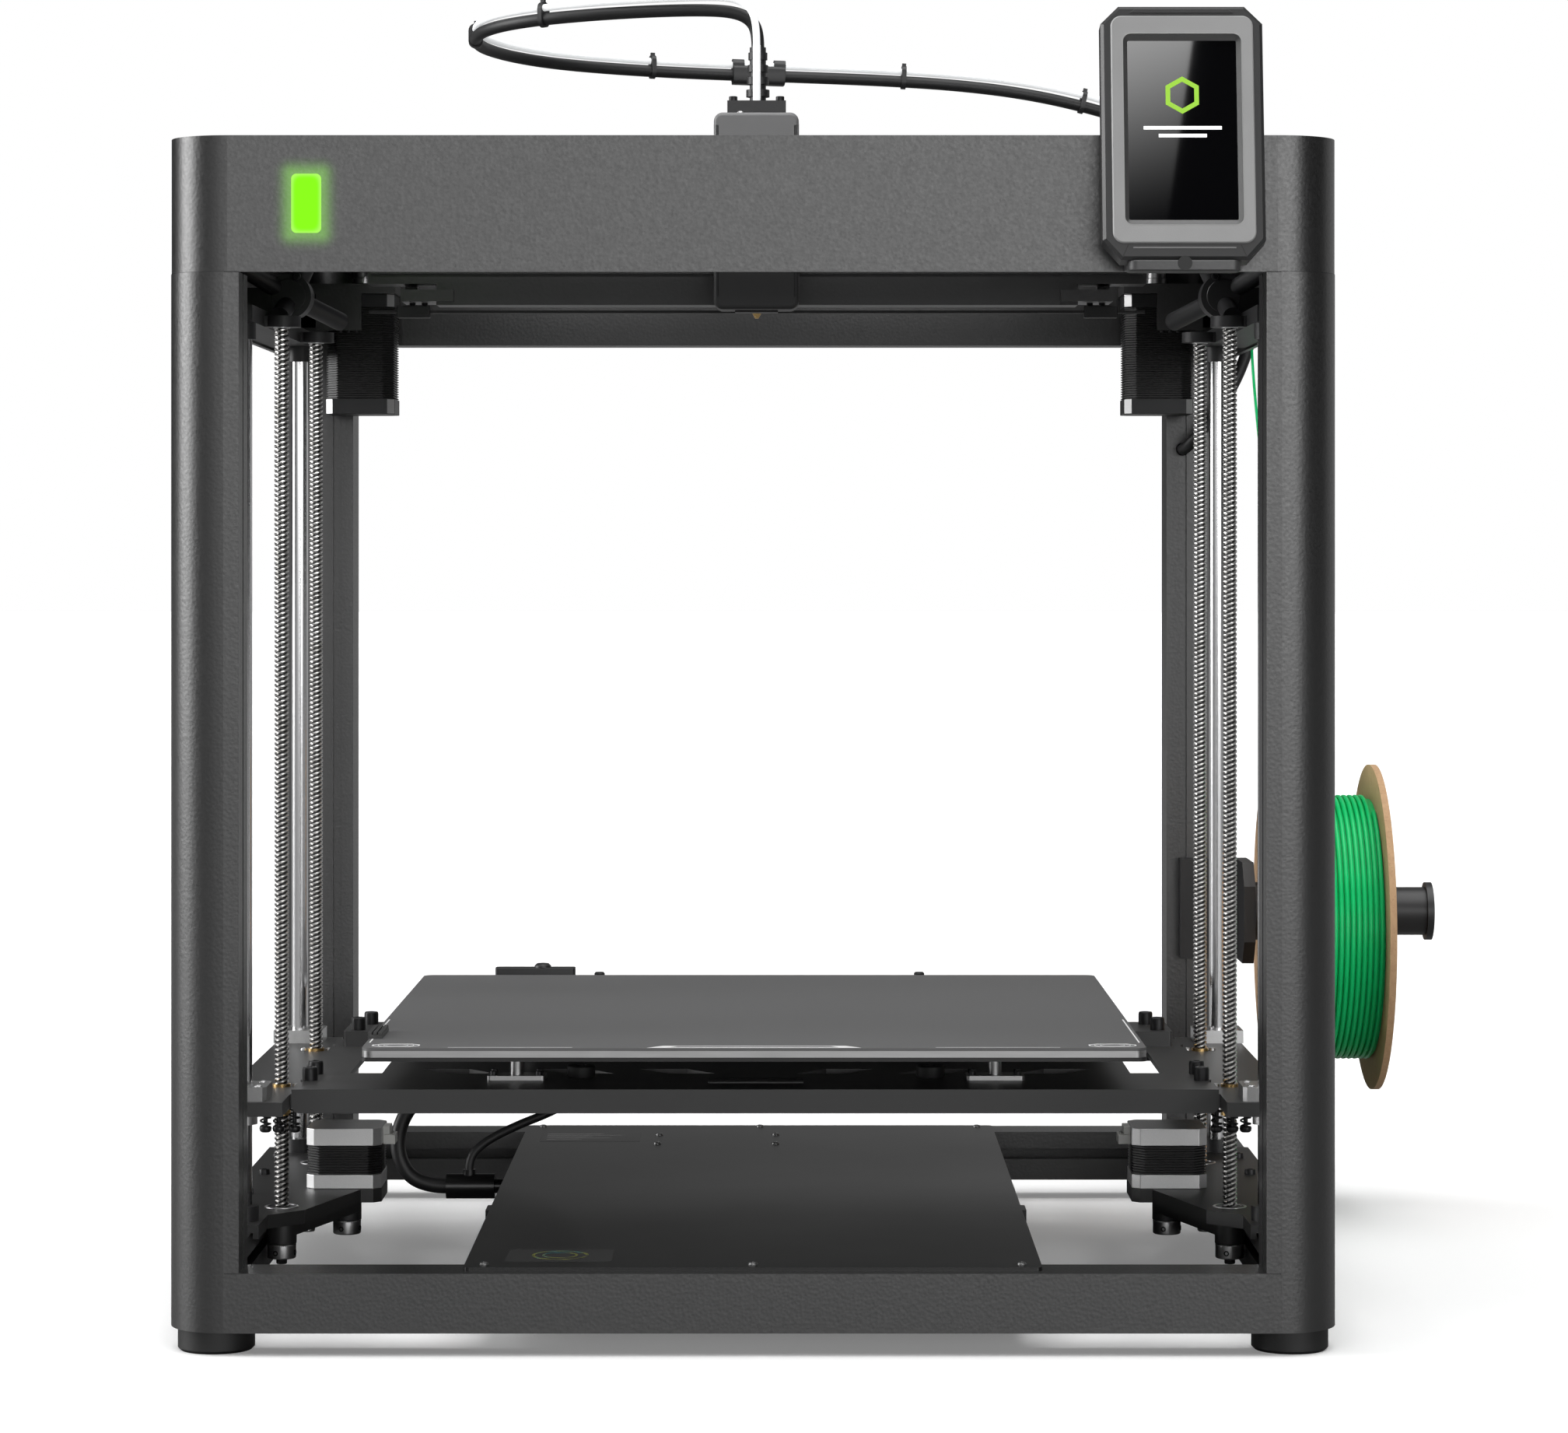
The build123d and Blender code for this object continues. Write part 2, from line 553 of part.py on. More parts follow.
def toolhead_cover():
    face = fillet(Rectangle(2 * HEAD_X, HEAD_Z1 - HEAD_Z0).vertices(), 5.0)
    mid = (HEAD_Z0 + HEAD_Z1) / 2
    body = Pos(0, 0, mid) * upright(face, HEAD_FRONT, HEAD_SPLIT)
    body = fillet(body.faces().sort_by(Axis.Y)[0].edges(), 2.4)
    inner = block(-HEAD_X + 1.6, HEAD_X - 1.6, HEAD_FRONT + 2, HEAD_SPLIT, HEAD_Z0 + 1.6, HEAD_Z1 - 1.6)
    body -= inner
    return body


def toolhead_body():
    body = block(-22, 22, HEAD_SPLIT, HEAD_BACK, HEAD_Z0 + 2, HEAD_Z1)
    body -= block(-11, 11, HEAD_SPLIT, 3, HEAD_Z0 + 2, 598)
    body -= block(-17, 17, HEAD_SPLIT, 2, 603, 642)
    for z0 in (556, 572.3):
        body += block(-17, 17, HEAD_BACK, BEAM_Y0 - 0.4, z0, z0 + 6.7)
    return body + bar_y(0, FAN_Z, FAN_Y1 + RUN_GAP, 2, 3)


def hot_end():
    y = NOZZLE_Y
    cone = Pos(0, y, NOZZLE_Z + 2) * Cone(1.0, 3.2, 4)
    body = cone + post(0, y, NOZZLE_Z + 4, NOZZLE_Z + 8, 3.4)
    body += block(-9, 9, y - 6, y + 7, NOZZLE_Z + 8, NOZZLE_Z + 20)
    body += post(0, y, NOZZLE_Z + 20, NOZZLE_Z + 27, 2.6)
    for z in range(564, 596, 4):
        body += post(0, y, z, z + 2, 7.6)
    return body + post(0, y, NOZZLE_Z + 27, 598, 4.0)


def part_fan():
    body = bar_y(0, FAN_Z, FAN_Y0, FAN_Y1, 15) - bar_y(0, FAN_Z, FAN_Y0, FAN_Y1 - 1.5, 10)
    return body + bar_y(0, FAN_Z, FAN_Y0 + 1, FAN_Y1, 4)


def cable_gland():
    body = block(-16.5, 16.5, -22, 4, HEAD_Z1, HEAD_Z1 + 8.5)
    body += post(GLAND_X, GLAND_Y, HEAD_Z1 + 8.5, GLAND_TOP, 4.6)
    for z, r in ((662, 6.6), (669, 6.2), (676, 5.8), (683, 5.4)):
        body += post(GLAND_X, GLAND_Y, z, z + 4, r)
    body -= post(0, TUBE_Y, HEAD_Z1, HEAD_Z1 + 8.5, TUBE_D / 2 + 0.2)
    return body, post(0, TUBE_Y, HEAD_Z1, GLAND_TOP, TUBE_D / 2)


# Spool --------------------------------------------------------------------------------------


def spool_bracket():
    x0, face, z0, z1 = 262.0, HALF_D - POST_D, 152.0, 214.0
    body = block(x0, HALF_W + 8, face - 12, face, z0, z1)
    side = [(200, z0 + 14), (212, z0), (face, z0), (face, z1), (212, z1), (200, z1 - 14)]
    plate = make_face(Polyline(*side, close=True))
    body += Pos(HALF_W + 1, 0, 0) * (Plane.YZ * extrude(plate, 7))
    holder = bar_x(HOLDER_Y, HOLDER_Z, HALF_W + 6, HOLDER_END, HOLDER_R)
    holder += bar_x(HOLDER_Y, HOLDER_Z, HALF_W + 8, HALF_W + 12, 17.7)
    holder += bar_x(HOLDER_Y, HOLDER_Z, HOLDER_END - 4, HOLDER_END, 17.7)
    return (body + holder) - bar_x(HOLDER_Y, HOLDER_Z, HALF_W + 12, HOLDER_END, 12.0)


def spool_body():
    bore = bar_x(HOLDER_Y, SPOOL_Z, SPOOL_X0 - 10, SPOOL_X1 + 10, SPOOL_BORE)
    body = bar_x(HOLDER_Y, SPOOL_Z, SPOOL_X0, SPOOL_X1, SPOOL_CORE)
    body += bar_x(HOLDER_Y, SPOOL_Z, SPOOL_X0 - SPOOL_T, SPOOL_X0, SPOOL_R)
    body += bar_x(HOLDER_Y, SPOOL_Z, SPOOL_X1, SPOOL_X1 + SPOOL_T, SPOOL_R)
    return body - bore


def filament_winding():
    body = bar_x(HOLDER_Y, SPOOL_Z, SPOOL_X0, SPOOL_X1, WOUND_R)
    return body - bar_x(HOLDER_Y, SPOOL_Z, SPOOL_X0, SPOOL_X1, SPOOL_CORE)


SENSOR = (301.0, 203.0, 548.0, 590.0)


def filament_sensor():
    x, y, z0, z1 = SENSOR
    body = block(HALF_W, HALF_W + 18, y - 18, y + 18, z0, z1)
    body = fillet(vertical_edges(body), 3)
    return body - post(x, y, z0, z1, 1.5)


# Cords --------------------------------------------------------------------------------------

CABLE_HOLE = (264.0, 257.0, 469.0)

UMBILICAL_FRONT = [
    (0.6, -5, 690), (0.6, -5, 698.5), (-3.4, -4.4, 706.2), (-13, -3, 710.6), (-31, 0, 712),
    (-60, 5, 711.9), (-92, 13, 711), (-123, 27, 710), (-147, 46, 708.8), (-161, 69, 707.6),
    (-166.5, 93, 706.4), (-166.5, 103, 706),
]
UMBILICAL_REAR = [
    (-166.5, 103, 706), (-166.5, 113, 705.6), (-162, 137, 704.8), (-149, 166, 703.8), (-126, 193, 702.8),
    (-93, 214, 702), (-54, 229, 701.2), (-11, 238, 700.4), (34, 243, 699.4), (79, 247, 698),
    (122, 250, 695.6), (164, 254, 691), (204, 259, 683), (241, 265, 672), (274, 269, 656),
    (297, 266, 632), (307, 259, 602), (309, 249, 570), (306, 241, 539), (296, 235, 512),
    (282, 232, 490), (270, 235, 475), (264.6, 245, 469), CABLE_HOLE,
]
TUBE_FRONT = [
    (0, -14.5, 690.05), (0, -14.5, 702), (-4, -11.5, 713), (-15, -8, 718), (-33, -4, 718.6),
    (-61, 2, 718.2), (-92, 11, 717.4), (-123, 25.5, 716.4), (-147, 45, 715.2), (-161, 69, 714),
    (-166.5, 93, 712.8), (-166.5, 103, 712.4),
]
TUBE_REAR = [
    (-166.5, 103, 712.4), (-166.5, 113, 712), (-162, 137, 711), (-149, 166, 710), (-126, 193, 709),
    (-93, 214, 708.2), (-54, 229, 707.4), (-11, 238, 706.6), (34, 243, 705.6), (79, 247, 704.2),
    (122, 250, 701.8), (164, 254, 697.6), (204, 258, 690), (240, 261, 679), (270, 258, 663),
    (290, 246, 643), (299, 230, 625), (301, 212, 610), (301, 203, 598), (301, 203, 590),
]
BED_CABLE = [
    (-180.3, 55, 37.3), (-189, 55, 37.3), (-202, 55.4, 42.5), (-209, 56, 56), (-208, 57, 72),
    (-199, 58, 87), (-185, 59, 95), (-185, 59, 105.8),
]
SENSOR_CABLE = [
    (-167, 55, 47), (-167, 55, 54), (-158, 56, 63), (-140, 57, 72), (-119, 58, 80),
    (-104, 59.4, 89), (-98, 60, 99), (-98, 60, 105.85),
]
FILAMENT = [
    (340, 132.8, 176), (338, 133.4, 224), (333, 137, 272), (326, 144, 320), (318, 153, 367),
    (310.5, 165, 413), (305, 178, 458), (302, 190, 502), (301, 199, 530), (301, 203, 548),
]


def cord(name, route, diameter):
    points = [Vector(*p) for p in route]
    radii = []
    for a, b, c in zip(points, points[1:], points[2:]):
        turn = (b - a).get_angle(c - b)
        radii.append(0.45 * min((b - a).length, (c - b).length) / tan(radians(turn / 2)))
    path = FilletPolyline(*points, radius=radii)
    section = Plane(origin=points[0], z_dir=points[1] - points[0]) * Circle(diameter / 2)
    body = sweep(section, path=path)
    share = body.volume / (pi * diameter**2 / 4 * path.length)
    tight = ", ".join(f"{r:.0f}" for r in radii)
    print(f"{name}: length {path.length:.1f}, volume ratio {share:.4f}, radii {tight}")
    save(name, body)


def main():
    os.makedirs("parts", exist_ok=True)
    save("feet", *four(foot()))
    save("base_corners", *four(base_corner()))
    save("base_rails", *base_rails())
    save("corner_posts", front_post(), flip_x(front_post()), rear_post(True), flip_x(rear_post(False)))
    save("housing_front", housing_front())
    save("housing_sides", housing_side(), flip_x(housing_side()))
    save("housing_rear", housing_rear())
    save("status_light", light_slot(0))
    save("screen_shell", screen_shell())
    save("screen_bezel", screen_bezel())
    save("screen_glass", screen_glass())
    save("electronics_case", electronics_case())
    save("electronics_lid", electronics_lid())
    save("power_supply", power_supply())
    save("mainboard", mainboard())
    save("mains_inlet", mains_inlet())
    save("power_rocker", power_rocker())
    save("z_base_plates", z_base_plate(), flip_x(z_base_plate()))
    save("z_top_brackets", z_top_bracket(), flip_x(z_top_bracket()))
    save("guide_rods", *four(guide_rod()))
    save("rod_clamps", *[p for clamp in rod_clamps() for p in four(clamp)])
    save("z_motors", z_motor(), flip_x(z_motor()))
    save("drive_belts", z_belt(), flip_x(z_belt()), side_belt(1, 1), side_belt(-1, 0))
    save("z_motor_pulley_right", z_motor_pulley())
    save("z_motor_pulley_left", flip_x(z_motor_pulley()))
    for side, side_name in ((-1, "left"), (1, "right")):
        for y, y_name in ((-SCREW_Y, "front"), (SCREW_Y, "rear")):
            save(f"lead_screw_{y_name}_{side_name}", *lead_screw(side, y))
        save(f"xy_pulley_{side_name}", xy_pulley(side))
    save("xy_motors", xy_motor(), flip_x(xy_motor()))
    save("motor_brackets", motor_bracket(), flip_x(motor_bracket()))
    save("y_rails", y_rail(), flip_x(y_rail()))
    save("bed_side_plates", bed_side_plate(), flip_x(bed_side_plate()))
    save("bed_carrier", bed_carrier())
    save("bed_cross_bar", bed_cross_bar())
    save("bed_bearings", *four(bed_bearing()))
    save("screw_nuts", *four(screw_nut()))
    save("bed_supports", *four(bed_support()), bed_pad(), flip_x(bed_pad()))
    save("heated_plate", heated_plate())
    save("build_sheet", build_sheet())
    save("x_beam", x_beam())
    save("gantry_blocks", gantry_block(), flip_x(gantry_block()))
    save("toolhead_cover", toolhead_cover())
    save("toolhead_body", toolhead_body())
    save("hot_end", hot_end())
    save("part_fan", part_fan())
    save("cable_gland", *cable_gland())
    save("spool_bracket", spool_bracket())
    save("spool_body", spool_body())
    save("filament_winding", filament_winding())
    save("filament_sensor", filament_sensor())
    cord("umbilical_front", UMBILICAL_FRONT, CABLE_D)
    cord("umbilical_rear", UMBILICAL_REAR, CABLE_D)
    cord("tube_front", TUBE_FRONT, TUBE_D)
    cord("tube_rear", TUBE_REAR, TUBE_D)
    cord("bed_cable", BED_CABLE, BED_CABLE_D)
    cord("sensor_cable", SENSOR_CABLE, SENSOR_CABLE_D)
    cord("filament_strand", FILAMENT, FILAMENT_D)


main()
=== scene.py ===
import math

import bmesh
import bpy
from bpy.props import FloatProperty, FloatVectorProperty, IntProperty, PointerProperty
from mathutils import Matrix, Vector


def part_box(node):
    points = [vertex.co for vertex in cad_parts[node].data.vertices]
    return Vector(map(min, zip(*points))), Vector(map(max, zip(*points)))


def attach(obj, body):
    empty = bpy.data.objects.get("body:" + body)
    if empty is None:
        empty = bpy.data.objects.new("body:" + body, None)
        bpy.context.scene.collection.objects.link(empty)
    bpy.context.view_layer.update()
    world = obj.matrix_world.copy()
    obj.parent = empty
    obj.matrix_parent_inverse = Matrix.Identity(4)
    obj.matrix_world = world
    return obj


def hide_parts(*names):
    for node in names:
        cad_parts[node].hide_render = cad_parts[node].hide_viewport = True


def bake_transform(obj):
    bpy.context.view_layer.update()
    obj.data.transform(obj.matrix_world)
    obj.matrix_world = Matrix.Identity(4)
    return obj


bl_info = {
    "name": "Gantry printer",
    "version": (1, 0, 0),
    "blender": (4, 5, 0),
    "location": "3D View > Sidebar > Printer",
    "description": "Finishes, fasteners, screws, cables and stage of a large gantry printer",
    "category": "Object",
}

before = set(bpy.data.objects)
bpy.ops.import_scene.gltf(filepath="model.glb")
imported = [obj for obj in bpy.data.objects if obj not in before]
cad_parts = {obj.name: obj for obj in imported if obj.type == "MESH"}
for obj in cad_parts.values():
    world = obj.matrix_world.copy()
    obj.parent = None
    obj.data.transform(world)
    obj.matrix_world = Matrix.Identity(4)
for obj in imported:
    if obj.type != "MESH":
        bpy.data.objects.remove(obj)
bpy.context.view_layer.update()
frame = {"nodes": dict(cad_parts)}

MM = 0.001
MIDDLE = sum(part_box("corner_posts"), Vector()) / 2
TO_ROW = Matrix.Translation((MIDDLE.x, MIDDLE.y, 0)) @ Matrix.Scale(MM, 4)
TAU = math.tau


# ---- Helpers: places
# Pieces are laid out in millimetres about the middle of the square frame, with the floor at z 0.


def at(x, y, z):
    return TO_ROW @ Vector((x, y, z))


def local(node):
    """A CAD node's lowest and highest corners, in the script's millimetres."""
    back = TO_ROW.inverted()
    return [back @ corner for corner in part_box(node)]


def both_sides(points, axis=(0, 0, 1)):
    """(position, axis) pairs for the points and their mirror images across the frame's middle."""
    return [((side * x, y, z), axis) for side in (-1, 1) for x, y, z in points]


def linked(name, data):
    """A new object in the scene."""
    obj = bpy.data.objects.new(name, data)
    bpy.context.scene.collection.objects.link(obj)
    return obj


def flat_mesh(name, corners):
    """One face over the corners, in metres."""
    data = bpy.data.meshes.new(name)
    data.from_pydata(corners, [], [range(len(corners))])
    return data


# ---- Helpers: shader maths


class Sock:
    """A shader output that Python arithmetic works on."""

    def __init__(self, finish, socket):
        self.finish, self.socket = finish, socket

    def maths(self, operation, other):
        return self.finish.node("ShaderNodeMath", {"operation": operation}, {0: self, 1: other})

    def __add__(self, other):
        return self.maths("ADD", other)

    def __sub__(self, other):
        return self.maths("SUBTRACT", other)

    def __mul__(self, other):
        return self.maths("MULTIPLY", other)

    def __truediv__(self, other):
        return self.maths("DIVIDE", other)

    def __pow__(self, other):
        return self.maths("POWER", other)

    def __gt__(self, other):
        return self.maths("GREATER_THAN", other)

    def size(self):
        return self.maths("ABSOLUTE", 0)


class Finish:
    """A material with one Principled shader, and short calls for the nodes that feed it."""

    def __init__(self, name, colour, roughness, metallic=0.0, **shader):
        self.material = bpy.data.materials.new(name)
        self.material.use_nodes = True
        self.tree = self.material.node_tree
        self.shader = self.tree.nodes["Principled BSDF"]
        self.set("Base Color", (*colour, 1.0))
        self.set("Roughness", roughness)
        self.set("Metallic", metallic)
        for socket, value in shader.items():
            self.set(socket.replace("_", " ").title().replace("Ior", "IOR"), value)
        self.where = self.node("ShaderNodeTexCoord", {}, {}, "Object")

    def node(self, kind, settings, sockets, out=0):
        made = self.tree.nodes.new(kind)
        for name, value in settings.items():
            setattr(made, name, value)
        for name, value in sockets.items():
            if isinstance(value, Sock):
                self.tree.links.new(value.socket, made.inputs[name])
            else:
                made.inputs[name].default_value = value
        return Sock(self, made.outputs[out])

    def set(self, name, value):
        if isinstance(value, Sock):
            self.tree.links.new(value.socket, self.shader.inputs[name])
        else:
            self.shader.inputs[name].default_value = value

    def part(self, letter):
        return self.node("ShaderNodeSeparateXYZ", {}, {0: self.where}, letter)

    def noise(self, scale, detail=2.0, stretch=None):
        where = self.where
        if stretch:
            where = self.node("ShaderNodeMapping", {}, {"Vector": where, "Scale": stretch})
        return self.node("ShaderNodeTexNoise", {}, {"Vector": where, "Scale": scale, "Detail": detail}, "Fac")

    def cells(self, scale, smoothness=0.5):
        sockets = {"Vector": self.where, "Scale": scale, "Smoothness": smoothness}
        return self.node("ShaderNodeTexVoronoi", {"feature": "SMOOTH_F1"}, sockets, "Distance")

    def between(self, share, a, b):
        """A colour from a to b as share goes from 0 to 1."""
        a, b = (c if isinstance(c, Sock) else (*c, 1.0) for c in (a, b))
        return self.node("ShaderNodeMix", {"data_type": "RGBA"}, {0: share, 6: a, 7: b}, 2)

    def ramp(self, value, low, high):
        """0 below low, 1 above high and smooth in between."""
        sockets = {"Value": value, "From Min": low, "From Max": high}
        return self.node("ShaderNodeMapRange", {"interpolation_type": "SMOOTHSTEP"}, sockets)

    def bump(self, height, distance, strength=1.0):
        sockets = {"Height": height, "Distance": distance, "Strength": strength}
        self.set("Normal", self.node("ShaderNodeBump", {}, sockets, "Normal"))


# ---- Helpers: meshes


def rounded(width, height, r, steps=6):
    """The outline of a rectangle with round corners, about its middle."""
    points = []
    for corner, (sx, sy) in enumerate(((1, 1), (-1, 1), (-1, -1), (1, -1))):
        cx, cy = sx * (width / 2 - r), sy * (height / 2 - r)
        for i in range(steps + 1):
            a = (corner + i / steps) * TAU / 4
            points.append((cx + r * math.cos(a), cy + r * math.sin(a)))
    return points


def cut_square(width, cut):
    """A square outline with its corners cut off."""
    h, k = width / 2, width / 2 - cut
    return [(h, -k), (h, k), (k, h), (-k, h), (-h, k), (-h, -k), (-k, -h), (k, -h)]


def circle(r, steps):
    return [(r * math.cos(i / steps * TAU), r * math.sin(i / steps * TAU)) for i in range(steps)]


def toothed(count, profile, turn=0.0, x=0.0, y=0.0):
    """An outline round (x, y) that repeats (share of a tooth, radius) points count times."""
    points = [(turn + (i + share) / count * TAU, r) for i in range(count) for share, r in profile]
    return [(x + r * math.cos(a), y + r * math.sin(a)) for a, r in points]


class Shape:
    """A mesh under construction, in millimetres."""

    def __init__(self):
        self.bm = bmesh.new()

    def rings(self, rings, ends=True):
        """Skins a row of rings that have the same number of points."""
        made = [[self.bm.verts.new(p) for p in ring] for ring in rings]
        for a, b in zip(made, made[1:]):
            for i in range(len(a)):
                j = (i + 1) % len(a)
                self.bm.faces.new((a[i], a[j], b[j], b[i]))
        if ends:
            self.bm.faces.new(list(reversed(made[0])))
            self.bm.faces.new(made[-1])
        return self

    def prism(self, outline, z0, z1, place=Matrix()):
        return self.rings([[place @ Vector((x, y, z)) for x, y in outline] for z in (z0, z1)])

    def stack(self, layers, place=Matrix()):
        """Layers are (outline, z) pairs with equal numbers of points."""
        return self.rings([[place @ Vector((x, y, z)) for x, y in outline] for outline, z in layers])

    def box(self, a, b):
        """A box between two opposite corners."""
        (x0, y0, z0), (x1, y1, z1) = map(min, a, b), map(max, a, b)
        return self.prism([(x0, y0), (x1, y0), (x1, y1), (x0, y1)], z0, z1)

    def band(self, outer, inner, z0, z1, place=Matrix()):
        """A flat frame between two outlines, as a ring of blocks."""
        for i in range(len(outer)):
            j = (i + 1) % len(outer)
            self.prism([outer[i], outer[j], inner[j], inner[i]], z0, z1, place)
        return self

    def turned(self, profile, place=Matrix(), steps=40):
        """Spins (radius, height) pairs about +Z. A profile that starts and ends at radius 0 is closed."""
        turns = circle(1, steps)
        rings = [[place @ Vector((r * c, r * s, z)) for c, s in turns] for r, z in profile]
        return self.rings(rings, ends=False)

    def mirrored(self):
        """Adds the same shape on the other side of the frame's middle."""
        copy = bmesh.ops.duplicate(self.bm, geom=self.bm.verts[:] + self.bm.edges[:] + self.bm.faces[:])
        for v in (g for g in copy["geom"] if isinstance(g, bmesh.types.BMVert)):
            v.co.x = -v.co.x
        return self

    def mesh(self, name, merge=1e-3):
        """Merges points closer than merge, turns the faces outward and gives the plain mesh."""
        bmesh.ops.remove_doubles(self.bm, verts=self.bm.verts, dist=merge)
        bmesh.ops.recalc_face_normals(self.bm, faces=self.bm.faces)
        made = bpy.data.meshes.new(name)
        self.bm.to_mesh(made)
        self.bm.free()
        return made

    def piece(self, name, body, finish, slot, bevel=0.0, smooth=35, replaces=()):
        """The finished piece: placed in the row's frame, riding on its body."""
        mesh = self.mesh(name)
        mesh.transform(TO_ROW)
        return dressed(name, mesh, body, finish, slot, bevel, smooth, replaces)


def dressed(name, mesh, body, finish, slot, bevel=0.0, smooth=35, replaces=()):
    """A mesh as a piece: its finish, rounded edges, body and the CAD nodes it replaces; slot is not used."""
    obj = linked(name, mesh)
    painted(mesh, finish)
    mesh.shade_smooth()
    mesh.set_sharp_from_angle(angle=math.radians(smooth))
    if bevel:
        edge = obj.modifiers.new("Broken edges", "BEVEL")
        edge.width = bevel * MM
        edge.segments = 2
        edge.limit_method = "ANGLE"
        edge.angle_limit = math.radians(40)
        edge.harden_normals = True
    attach(obj, body)
    if replaces:
        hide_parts(*replaces)
    return obj


def painted(mesh, finish):
    mesh.materials.clear()
    mesh.materials.append(FINISHES[finish].material)


def plain_mesh(obj):
    """The mesh that an object evaluates to, in place of the object."""
    evaluated = obj.evaluated_get(bpy.context.evaluated_depsgraph_get())
    made = bpy.data.meshes.new_from_object(evaluated)
    bpy.data.objects.remove(obj)
    return made


# ---- Helpers: Geometry Nodes


class Grower:
    """A Geometry Nodes tree with named inputs, run once to give a plain mesh."""

    def __init__(self, name, inputs):
        self.tree = bpy.data.node_groups.new(name, "GeometryNodeTree")
        for label, kind in inputs.items():
            self.tree.interface.new_socket(label, in_out="INPUT", socket_type="NodeSocket" + kind)
        self.tree.interface.new_socket("Made", in_out="OUTPUT", socket_type="NodeSocketGeometry")
        self.start = self.tree.nodes.new("NodeGroupInput")
        self.end = self.tree.nodes.new("NodeGroupOutput")

    def given(self, label):
        return self.start.outputs[label]

    def node(self, kind, settings, sockets, out=0):
        made = self.tree.nodes.new(kind)
        for name, value in settings.items():
            setattr(made, name, value)
        for name, value in sockets.items():
            if isinstance(value, bpy.types.NodeSocket):
                self.tree.links.new(value, made.inputs[name])
            else:
                made.inputs[name].default_value = value
        return made.outputs[out]

    def finish(self, shape):
        """Ends the tree: real geometry with its material."""
        real = self.node("GeometryNodeRealizeInstances", {}, {0: shape})
        sockets = {"Geometry": real, "Material": self.given("Finish")}
        self.tree.links.new(self.node("GeometryNodeSetMaterial", {}, sockets), self.end.inputs[0])
        return self

    def grown(self, name, base, **values):
        """The mesh that the tree makes of a base mesh."""
        obj = linked(name, base)
        modifier = obj.modifiers.new("Grow", "NODES")
        modifier.node_group = self.tree
        for item in self.tree.interface.items_tree:
            label = item.name.replace(" ", "_").lower()
            if item.in_out == "INPUT" and label in values:
                modifier[item.identifier] = values[label]
        return plain_mesh(obj)


def scatter_grower():
    """Puts a part at each point, turned by the point's own attribute."""
    g = Grower("Repeat a part", {"Places": "Geometry", "Part": "Object", "Finish": "Material"})
    part = g.node("GeometryNodeObjectInfo", {}, {"Object": g.given("Part"), "As Instance": True}, "Geometry")
    turn = g.node("GeometryNodeInputNamedAttribute", {"data_type": "FLOAT_VECTOR"}, {"Name": "turn"})
    turned = g.node("FunctionNodeEulerToRotation", {}, {0: turn})
    sockets = {"Points": g.given("Places"), "Instance": part, "Rotation": turned}
    return g.finish(g.node("GeometryNodeInstanceOnPoints", {}, sockets))


def coil_grower():
    """Sweeps a round wire along a helix."""
    inputs = {
        "Base": "Geometry", "Turns": "Float", "Radius": "Float", "Length": "Float", "Wire": "Float",
        "Turn Steps": "Int", "Wire Steps": "Int", "Finish": "Material",
    }
    g = Grower("Wind a coil", inputs)
    sockets = {
        "Resolution": g.given("Turn Steps"), "Rotations": g.given("Turns"), "Start Radius": g.given("Radius"),
        "End Radius": g.given("Radius"), "Height": g.given("Length"),
    }
    spiral = g.node("GeometryNodeCurveSpiral", {}, sockets)
    wire = {"Resolution": g.given("Wire Steps"), "Radius": g.given("Wire")}
    section = g.node("GeometryNodeCurvePrimitiveCircle", {"mode": "RADIUS"}, wire)
    sockets = {"Curve": spiral, "Profile Curve": section, "Fill Caps": True}
    return g.finish(g.node("GeometryNodeCurveToMesh", {}, sockets))


def row_grower():
    """Repeats a part along a straight line."""
    inputs = {"Base": "Geometry", "Part": "Object", "Count": "Int", "Step": "Vector", "Finish": "Material"}
    g = Grower("Stack a row", inputs)
    part = g.node("GeometryNodeObjectInfo", {}, {"Object": g.given("Part"), "As Instance": True}, "Geometry")
    line = g.node("GeometryNodeMeshLine", {}, {"Count": g.given("Count"), "Offset": g.given("Step")})
    return g.finish(g.node("GeometryNodeInstanceOnPoints", {}, {"Points": line, "Instance": part}))


def prototype(shape):
    """A part to repeat, kept out of the scene's pieces."""
    return bpy.data.objects.new("prototype", shape.mesh("prototype"))


def repeated(name, shape, places, body, finish, slot, smooth=35):
    """One piece: the shape at each place, a (position, axis) pair, with the shape's +Z along the axis."""
    part = prototype(shape)
    points = bpy.data.meshes.new(name + "_places")
    points.from_pydata([tuple(position) for position, _ in places], [], [])
    turns = points.attributes.new("turn", "FLOAT_VECTOR", "POINT")
    for entry, (_, axis) in zip(turns.data, places):
        entry.vector = Vector(axis).to_track_quat("Z", "Y").to_euler()
    mesh = GROWERS["scatter"].grown(name, points, part=part, finish=FINISHES[finish].material)
    bpy.data.objects.remove(part)
    mesh.transform(TO_ROW)
    return dressed(name, mesh, body, finish, slot, smooth=smooth)


# ---- Finishes

FINISHES = {}
GROWERS = {}


def scaled(tone, factor, more=0.0):
    return tuple(factor * c + more for c in tone)


def grained(name, low, high, noise, roughness, gain, bump=None, **shader):
    """One noise, a (scale, detail, stretch) triple, runs the colour and adds gain to the roughness."""
    f = Finish(name, low, roughness, **shader)
    grain = f.noise(*noise)
    f.set("Base Color", f.between(grain, low, high))
    f.set("Roughness", grain * gain + roughness)
    if bump:
        f.bump(grain, *bump)
    return f


